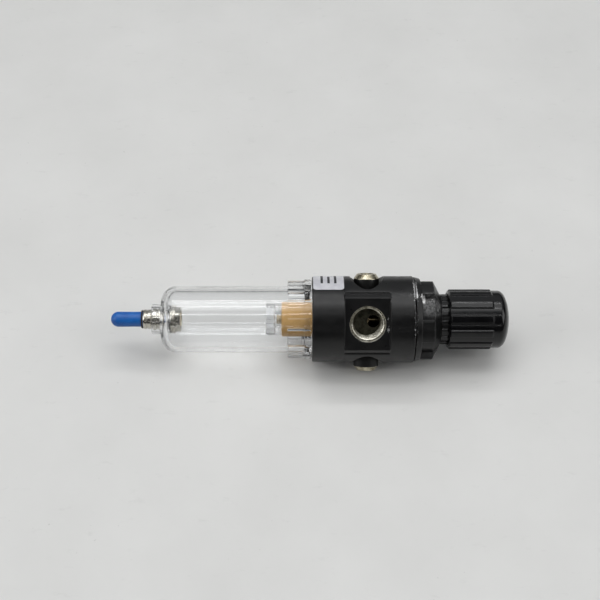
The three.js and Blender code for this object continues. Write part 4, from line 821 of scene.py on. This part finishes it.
def make_knob():
    low, top = span("knob")
    base = girth("knob") - RIB_HEIGHT
    inner = 9.8
    period = TAU / RIB_COUNT
    offsets = [-15, -12, -9.6, -8.5, -8, -7.5, -7, -6.5, -5.4, -3, 0, 3, 5.4, 6.5, 7, 7.5, 8, 8.5, 9.6, 12]
    angles = [period * k + RIB_START + radians(o) for k in range(RIB_COUNT) for o in offsets]

    def shape(x, r, angle):
        if r > base - 0.01 and x < RIB_HIGH + 0.8:
            across = within(off_nearest(angle, period, RIB_START), radians(7.5), radians(0.9))
            along = band(x, RIB_LOW - 0.2, RIB_LOW + 0.3, RIB_HIGH - 0.5, RIB_HIGH + 0.1)
            return x, r + RIB_HEIGHT * across * along
        if abs(r - inner) < 0.01 and x < TOOTH_HIGH + 0.2:
            pitch = TAU / SPLINE_COUNT
            across = within(off_nearest(angle, pitch, pitch / 2), radians(4), radians(0.6))
            along = band(x, TOOTH_LOW - 0.1, TOOTH_LOW + 0.2, TOOTH_HIGH - 0.2, TOOTH_HIGH)
            return x, r - TOOTH_DEPTH * across * along
        return x, r

    sides = [RIB_LOW + 0.1 * k for k in range(1, 6)]
    sides += [RIB_LOW + 0.6 + (RIB_HIGH - RIB_LOW - 1.4) * k / 12 for k in range(1, 13)]
    sides += [RIB_HIGH - 0.6 + 0.1 * k for k in range(9)]
    dome = [(49.2, base), (50.0, base - 0.25), (50.9, base - 1.0)]
    dome += [(51.6, base - 2.1), (52.3, base - 4), (52.9, base - 6.6)]
    ceiling, socket_top, socket = 39.5, 48.5, 3.05
    cavity = [(socket_top, 0), (socket_top, socket), (ceiling, socket), (ceiling, inner - 0.3)]
    cavity += [(ceiling - 0.3, inner), *((TOOTH_HIGH - 0.1 * k, inner) for k in range(-2, 22))]
    outline = [(low, inner + 0.25), (low, base - 0.5), (low + 0.15, base - 0.22), (RIB_LOW - 0.1, base)]
    outline += [*((x, base) for x in sides), (47.6, base - 0.02), (48.4, base - 0.05), *dome]
    outline += [(top - 0.12, 2), (top, 0)]
    knob = turned("knob_moulding", [*cavity, *outline], angles, shape=shape, smooth=38)
    place(knob, KNOB_BLACK, "knob", "handle")


# ---- bowl and filter
NOTCH_COUNT, NOTCH_HALF = 8, radians(8.5)


def make_bowl():
    low, high = span("bowl")
    end, floor, rim_low, rim_high, flange_high = -76.5, -74.3, -29.3, -23.1, BODY_LOW - 0.3
    radius, bore, rim, flange = 12.4, 10.4, 14.45, girth("bowl")
    corner, boss, hole = 5.3, 5.65, 4.25
    neck, neck_bore, thread_low = 12.9, 10.6, -17.9
    groove_low, groove_high, groove = -20.05, -18.35, 11.55
    period = TAU / NOTCH_COUNT
    steps = [0, 3, 6, 7.6, 8.2, 8.5, 8.8, 9.4, 11, 14, 18, 22.5]
    offsets = sorted({s * d for d in steps for s in (-1, 1)} - {-22.5})
    angles = [period * k + radians(o) for k in range(NOTCH_COUNT) for o in offsets]
    threads = thread_shape(1.5, 0.35)

    def shape(x, r, angle):
        if rim_low - 0.2 < x < rim_high + 0.05 and r > rim - 0.6:
            return x, r - (r - 13.0) * within(off_nearest(angle, period), NOTCH_HALF, 0.008)
        if x > thread_low and abs(r - neck) < SAME:
            fade = band(x, thread_low + 0.3, thread_low + 1.1, high - 0.9, high - 0.3)
            return x, r - fade * (r - threads(x, r, angle)[1])
        return x, r

    skin = [(low, hole), (low, boss), (end, boss), *arc((end + corner, radius - corner), corner, 180, 90, 10)]
    skin += [(-60, radius), (-45, radius + 0.03), (rim_low, radius + 0.05)]
    flare = rounded([(rim_low, radius + 0.05), (rim_low, rim), (rim_high, rim), (rim_high, flange)], 0.3)
    top = rounded([(rim_high, flange), (flange_high, flange), (flange_high, neck)], 0.25)
    ring_groove = [(groove_low, neck), (groove_low, groove), (groove_high, groove), (groove_high, neck)]
    mouth = [(high, neck - 0.3), (high, neck_bore + 0.2), (high - 0.2, neck_bore)]
    inside = [(BODY_LOW, neck_bore), (rim_low, bore)]
    inside += arc((floor + corner - 2, bore - corner + 2), corner - 2, 90, 180, 8)
    inside += [(floor, hole + 0.2), (floor - 0.2, hole)]
    outline = [*rounded(skin, 0.45), *flare[1:], *top[1:], *ring_groove]
    outline += [*stretch(thread_low, high, 0.12, neck), *mouth, *inside]
    bowl = turned("bowl_moulding", outline, angles, closed=True, shape=shape, smooth=30)
    place(bowl, CLEAR, "bowl", "bowl_group")


def make_filter():
    """The sintered element: a plain tube with a slightly uneven skin."""
    low, high = span("filter_element")
    bore, radius = 4.4, 6.45
    noise, grain = random.Random(7), {}

    def shape(x, r, angle):
        key = (round(x, 2), round(angle, 3))
        grain.setdefault(key, noise.uniform(-0.02, 0.015))
        return x, r + (grain[key] if r > radius - 0.05 else 0)

    foot = rounded([(low, bore), (low, radius), (low + 0.5, radius)], 0.25)[:-1]
    side = [(low + (high - low) * k / 60, radius) for k in range(2, 61)]
    outline = [*foot, *side, (high, bore)]
    piece = turned("filter_sinter", outline, 160, closed=True, shape=shape, smooth=60)
    place(piece, SINTERED, "filter_element")


def make_baffle():
    """The frosted disc under the filter, with its skirt and six stiffening ribs."""
    low, high = span("baffle")
    radius, bore, disc_low = girth("baffle"), 2.05, high - 2.4
    groove_low, groove_high, groove = high - 0.9, high - 0.5, radius - 0.35
    outline = [(high, bore), (disc_low, bore), (disc_low, radius - 0.8), (low, radius - 0.8), (low, radius)]
    outline += [(groove_low, radius), (groove_low, groove), (groove_high, groove), (groove_high, radius)]
    outline.append((high, radius))
    baffle = turned("baffle_moulding", rounded(outline, 0.12, closed=True), 96, closed=True)
    ribs = [box("rib", (low + 0.5, 2, -0.3), (disc_low + 0.3, radius - 0.5, 0.3)) for _ in range(6)]
    combined(baffle, around(ribs), "UNION")
    tidy(baffle, 30)
    place(baffle, FROSTED, "baffle")


def make_stud():
    low, high = span("filter_stud")
    radius, socket, socket_low = girth("filter_stud"), 1.3, high - 2.4
    outline = [(low, 0), (low, radius - 0.3), *stretch(low + 0.3, high - 0.1, 0.08, radius)]
    outline += [(high, radius - 0.2), (high, socket), (socket_low, socket), (socket_low, 0)]
    stud = turned("stud_thread", outline, 48, shape=thread_shape(0.7, 0.22, radius=radius))
    place(stud, BRASS, "filter_stud")


def make_deflector():
    low, high = span("deflector")
    outline = rounded([(low, 6.75), (low, 10.1), (high, 10.1), (high, 6.75)], 0.2, closed=True)
    ring = turned("deflector_moulding", outline, 96, closed=True)
    slots = [box("slot", (-3, -0.7, 7.45), (3, 0.7, 11)) for _ in range(8)]
    for slot in slots:
        slot.data.transform(Matrix.Rotation(radians(20), 4, "Z"))
        slot.data.transform(Matrix.Translation(((low + high) / 2, 0, 0)))
    combined(ring, around(slots), "DIFFERENCE")
    tidy(ring, 30)
    place(ring, ACETAL, "deflector")


# ---- drain
def make_drain_body():
    """The nickel fitting: a grooved head and shank below the bowl, and the thread that goes through it."""
    low, high = span("drain_body")
    head, neck, shank, thread, seat = 3.7, 3.3, 4.05, 3.38, -74.5
    mouth, bore, spring_bore, spring_top = 3.05, 1.5, 2.2, -76
    groove, step = low + 1.1, low + 2.9
    skin = [(low, mouth), (low, head - 0.15), (low + 0.55, head), (groove, head), (groove + 0.15, head - 0.3)]
    skin += [(groove + 0.45, head - 0.3), (groove + 0.6, head), (step, head), (step, neck)]
    skin += [(step + 0.9, neck), (step + 0.9, shank), (step + 2.3, shank), (step + 2.45, shank - 0.35)]
    skin += [(step + 2.9, shank - 0.35), (step + 3.05, shank), (seat, shank), (seat, thread + 0.02)]
    outline = [*rounded(skin, 0.12), *stretch(seat + 0.1, high - 0.1, 0.08, thread)]
    outline += [(high, thread - 0.28), (high, bore), (spring_top, bore), (spring_top, spring_bore)]
    outline += [(low + 2.2, spring_bore), (low + 2.2, mouth)]
    threads = thread_shape(0.8, 0.25, radius=thread)
    piece = turned("drain_turning", outline, 72, closed=True, shape=threads)
    place(piece, NICKEL, "drain_body", "bowl_group")


def make_drain_nut():
    low, high = span("drain_nut")
    radius, bore = girth("drain_nut"), 3.6
    groove, step = low + 0.9, low + 0.55 * (high - low)
    outline = [(low, bore), (low, radius), (groove, radius), (groove + 0.15, radius - 0.35)]
    outline += [(groove + 0.5, radius - 0.35), (groove + 0.65, radius), (step, radius), (step, radius - 0.7)]
    outline += [(high, radius - 0.7), (high, bore)]
    nut = turned("drain_nut_turning", rounded(outline, 0.12, closed=True), 72, closed=True)
    flats = [box("flat", (step - 0.01, radius - 1.15, -6), (high + 1, radius + 1, 6)) for _ in range(6)]
    combined(nut, around(flats), "DIFFERENCE")
    tidy(nut, 30)
    place(nut, NICKEL, "drain_nut", "bowl_group")


def make_drain_cap():
    low, high = span("drain_cap")
    radius = girth("drain_cap")
    socket, socket_low = 1.3, -85.3
    outline = arc((low + radius, 0), radius, 180, 90, 12)
    outline += [(low + 5.4, radius - 0.02), (low + 8, radius - 0.05), (low + 10, radius - 0.03)]
    outline += [(high - 0.25, radius), (high, radius - 0.25)]
    outline += [(high, socket), (socket_low, socket), (socket_low, 0)]
    cap = turned("drain_cap_vinyl", outline, 72)
    place(cap, BLUE, "drain_cap", "drain_button")


def make_drain_stem():
    low, high = span("drain_stem")
    shank, head = 1.1, girth("drain_stem")
    outline = [(low, 0), (low, shank), (high - 1, shank), (high - 1, head), (high, head), (high, 0)]
    stem = turned("drain_stem_turning", rounded(outline, 0.15), 64)
    place(stem, BRASS, "drain_stem", "drain_button")


# ---- pieces inside the housing
DRAIN_RINGS = (  # node, the end of its piece's name, bore, eased edge, body, finish
    ("drain_collar", "rubber", 3.05, 0.25, "bowl_group", RUBBER),
    ("drain_gasket", "rubber", 3.6, 0.15, "bowl_group", RUBBER),
    ("drain_seal", "rubber", 1.3, 0.3, "drain_button", RUBBER),
)
INNER_RINGS = (
    ("slip_ring", "fine", 9, 0.12, "housing", STEEL),
    ("diaphragm", "fine", 0.8, 0.12, "housing", RUBBER),
    ("valve_seat", "fine", 2, 0.12, "housing", BRASS),
    ("thrust_washer", "fine", 2.8, 0.12, "adjuster", STEEL),
    ("retaining_clip", "fine", 2.3, 0.12, "adjuster", STEEL),
    ("poppet_seal", "fine", 1.2, 0.12, "valve", RUBBER),
    ("relief_hub", "fine", 0.4, 0.12, "diaphragm_centre", BRASS),
)
NUT_TRAVEL = next(j for j in frame["joints"] if j["name"] == "spring_nut_travel")["range_m"][1] / MM
SPRINGS = (  # node, middle radius, wire, turns, body, joint that squashes it and how far, the end that stays
    ("range_spring", 5.65, 1.4, 4.25, "housing", "spring_nut_travel", NUT_TRAVEL, 0),
    ("valve_spring", 2.8, 0.5, 4.25, "housing", "valve_stroke", 0.8, 0),
    ("drain_spring", 1.75, 0.4, 6.25, "bowl_group", "drain_push", 1.2, 1),
)


def make_rings(rings):
    """Washers, seats and seals: plain turned rings with eased edges."""
    for node, ending, bore, edge, body, finish in rings:
        low, high = span(node)
        ring = tube(f"{node}_{ending}", low, high, bore, girth(node), edge)
        place(ring, finish, node, body)


def make_o_ring():
    low, high = span("bowl_o_ring")
    middle, section = girth("bowl_o_ring") - (high - low) / 2, (high - low) / 2
    outline = arc(((low + high) / 2, middle), section, 0, 345, 23)
    ring = turned("o_ring_fine", outline, 120, closed=True, smooth=60)
    place(ring, RUBBER, "bowl_o_ring", "seal")


def make_springs():
    for node, radius, wire, turns, body, joint, travel, staying in SPRINGS:
        ends = span(node)
        spring = helix(node + "_wire", *ends, radius, wire, turns)
        place(spring, STEEL, node, body)
        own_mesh(spring)


def make_adjusting_screw():
    low, high = span("adjusting_screw")
    flange_low, flange_high, groove_low, groove_high = 30.9, 32.1, 36.1, 37.2
    thread, shank, flange, groove = 2.5, 2.4, 5.2, 2.1
    outline = [(low, 0), (low, 2.1), *stretch(low + 0.4, flange_low - 0.2, 0.1, thread)]
    top = [(flange_low, shank), (flange_low, flange), (flange_high, flange), (flange_high, shank)]
    top += [(groove_low, shank), (groove_low, groove), (groove_high, groove), (groove_high, 0)]
    threads = thread_shape(1.25, 0.35, -1, thread)
    screw = turned("screw_turning", [*outline, *rounded(top, 0.12)], 64, shape=threads)
    hexagon = [(groove_high - 0.1, 0), (groove_high - 0.1, 2.75), (high, 2.75), (high, 0)]
    drive = turned("drive", rounded(hexagon, 0.3), 6)
    combined(screw, [drive], "UNION")
    tidy(screw, 30)
    place(screw, BRASS, "adjusting_screw", "adjuster")


def make_spring_nut():
    low, high = span("spring_nut")
    outline = [(low, 2.65), (low, 7.6), (high, 7.6), (high, 2.65)]
    nut = turned("nut_turning", rounded(outline, 0.3, closed=True), 6, closed=True)
    tidy(nut, 30)
    place(nut, BRASS, "spring_nut", "nut")


def make_plate_and_valve():
    low, high = span("diaphragm_plate")
    outline = [(low, 0.8), (low, 8), (low + 0.9, 8), (low + 0.9, 4.2), (high, 3.8), (high, 0.8)]
    plate = turned("plate_pressing", rounded(outline, 0.2, closed=True), 96, closed=True)
    place(plate, STEEL, "diaphragm_plate", "diaphragm_centre")
    low, high = span("valve_stem")
    stem, poppet, poppet_low, poppet_high = 1, 3.5, -4.4, -1.5
    outline = [(low, 0), (low, stem), (poppet_low, stem), (poppet_low, poppet)]
    outline += [(poppet_high, poppet), (poppet_high, stem), (high, stem), (high, 0)]
    valve = turned("valve_turning", rounded(outline, 0.2), 64)
    place(valve, BRASS, "valve_stem", "valve")
    low, high = span("valve_guide")
    guide = tube("guide_moulding", low, high, 2.05, girth("valve_guide"), 0.15)
    holes = [rod("hole", low - 1, high + 1, 0.6, 24) for _ in range(3)]
    for k, hole in enumerate(holes):
        hole.data.transform(Matrix.Rotation(TAU * k / 3, 4, "X") @ Matrix.Translation((0, 3.02, 0)))
    combined(guide, holes, "DIFFERENCE")
    tidy(guide, 30)
    place(guide, ACETAL, "valve_guide")


# ---- stage, light and camera
FLOOR_HALF, FLOOR_DROP = 3.0, 0.00003
LAMP_HEIGHT = 1.1
LAMPS = (  # name, elevation, depth, length and radiance of each lamp in line with the unit
    ("overhead", 103, 0.75, 1.5, 1.3),
    ("strip_back", 118, 0.025, 1.0, 12),
    ("strip_top", 96, 0.025, 1.0, 12),
    ("strip_front", 69, 0.02, 1.0, 9),
    ("strip_low", 28, 0.02, 1.0, 4),
)
SIDE_LAMP, SIDE_AT, SIDE_RADIANCE = 0.9, (1.15, -0.3, 0.75), 2.3
SKY_MIDDLE = (0, 0.5, 0.87)  # the way to the lightest part of the sky
SKY_DARK = (0.42, (0.03, 0.03, 0.032, 1))  # place on the sky's ramp, and colour
SKY_LIGHT = (0.95, (0.42, 0.43, 0.44, 1))


def make_floor():
    n = Nodes("floor")
    color = n.mix(n.ramp(n.noise(0.02, 5), 0.3, 0.7), (0.665, 0.665, 0.65), (0.715, 0.715, 0.70))
    marks = n.ramp(n.noise(0.09, 6, 0.7, (1, 2.4, 1)), 0.6, 0.72, 0, 0.2)
    color = n.mix(marks, color, (0.45, 0.45, 0.44))
    specks = n.ramp(n.noise(0.55, 3), 0.73, 0.76, 0, 0.35)
    color = n.mix(specks, color, (0.3, 0.3, 0.29))
    n.set(Base_Color=color, Roughness=0.5)
    n.bump(n.noise(0.35, 4), 0.06, 0.25)
    mesh = bpy.data.meshes.new("floor")
    corners = [(x * FLOOR_HALF, y * FLOOR_HALF, 0) for x, y in ((-1, -1), (1, -1), (1, 1), (-1, 1))]
    mesh.from_pydata(corners, [], [(0, 1, 2, 3)])
    floor = scene_object("floor", mesh)
    floor.location.z = -FLOOR_DROP
    mesh.materials.append(n.material)


def area_light(name, location, length, depth, radiance):
    """A plain lamp that faces the middle of the unit's underside."""
    lamp = bpy.data.lights.new(name, "AREA")
    lamp.shape, lamp.size, lamp.size_y = "RECTANGLE", length, depth
    lamp.energy = radiance * pi * depth * length
    made = scene_object(name, lamp)
    made.location = location
    made.rotation_euler = (-Vector(location)).to_track_quat("-Z", "Y").to_euler()


def make_light():
    for name, elevation, depth, length, radiance in LAMPS:
        angle = radians(elevation)  # from the camera's side
        at = (0, -LAMP_HEIGHT * cos(angle), LAMP_HEIGHT * sin(angle))
        area_light(name, at, length, depth, radiance)
    for name, side in (("side_left", -1), ("side_right", 1)):
        area_light(name, (side * SIDE_AT[0], *SIDE_AT[1:]), SIDE_LAMP, SIDE_LAMP, SIDE_RADIANCE)
    world = bpy.data.worlds.new("studio")
    world.use_nodes = True
    nodes, links = world.node_tree.nodes, world.node_tree.links
    coordinates = nodes.new("ShaderNodeTexCoord")
    facing = nodes.new("ShaderNodeVectorMath")
    facing.operation = "DOT_PRODUCT"
    facing.inputs[1].default_value = SKY_MIDDLE
    sky = nodes.new("ShaderNodeValToRGB")
    sky.color_ramp.interpolation = "EASE"
    for stop, (position, color) in zip(sky.color_ramp.elements, (SKY_DARK, SKY_LIGHT)):
        stop.position, stop.color = position, color
    links.new(coordinates.outputs["Generated"], facing.inputs[0])
    links.new(facing.outputs["Value"], sky.inputs["Fac"])
    links.new(sky.outputs["Color"], nodes["Background"].inputs["Color"])
    bpy.context.scene.world = world


CAMERA_DISTANCE = 0.45
CAMERA_ABOVE_PORT = radians(7)  # the outlet port's axis points this far below the line of sight
VIEW_CENTRE_X = PORT_X - 0.02475
VIEW_CENTRE_UP = 0.0072  # the unit's axis lies this far below the middle of the view


def make_camera():
    elevation = ROLL + CAMERA_ABOVE_PORT
    away = Vector((0, -cos(elevation), sin(elevation)))
    up = Vector((0, sin(elevation), cos(elevation)))
    target = Vector((VIEW_CENTRE_X, 0, AXIS_Z)) + up * VIEW_CENTRE_UP
    data = bpy.data.cameras.new("camera")
    data.lens, data.sensor_width = 72, 36
    data.clip_start, data.clip_end = 0.01, 20
    camera = scene_object("camera", data)
    camera.location = target + away * CAMERA_DISTANCE
    camera.rotation_euler = (-away).to_track_quat("-Z", "Y").to_euler()
    bpy.context.scene.camera = camera


def set_rendering():
    bpy.context.scene.view_settings.view_transform = "Standard"
    cycles = bpy.context.scene.cycles
    cycles.use_denoising = True
    cycles.max_bounces, cycles.transmission_bounces, cycles.glossy_bounces = 16, 14, 6


make_camera()
make_light()
make_floor()
make_body()
make_port_lining("outlet", "outlet_thread")
make_port_lining("inlet", "inlet_thread")
make_arrow()
make_label()
# the last number is how far the bare end of each plug reaches before its painted shade begins
make_gauge_plug("front", "gauge_plug_front", 17.1, 2.3)
make_gauge_plug("rear", "gauge_plug_rear", 19.0, 1.1)
make_bonnet()
make_knob()
make_bowl()
make_filter()
make_baffle()
make_stud()
make_deflector()
make_drain_body()
make_drain_nut()
make_drain_cap()
make_rings(DRAIN_RINGS)
make_drain_stem()
make_rings(INNER_RINGS)
make_o_ring()
make_springs()
make_adjusting_screw()
make_spring_nut()
make_plate_and_valve()
set_rendering()
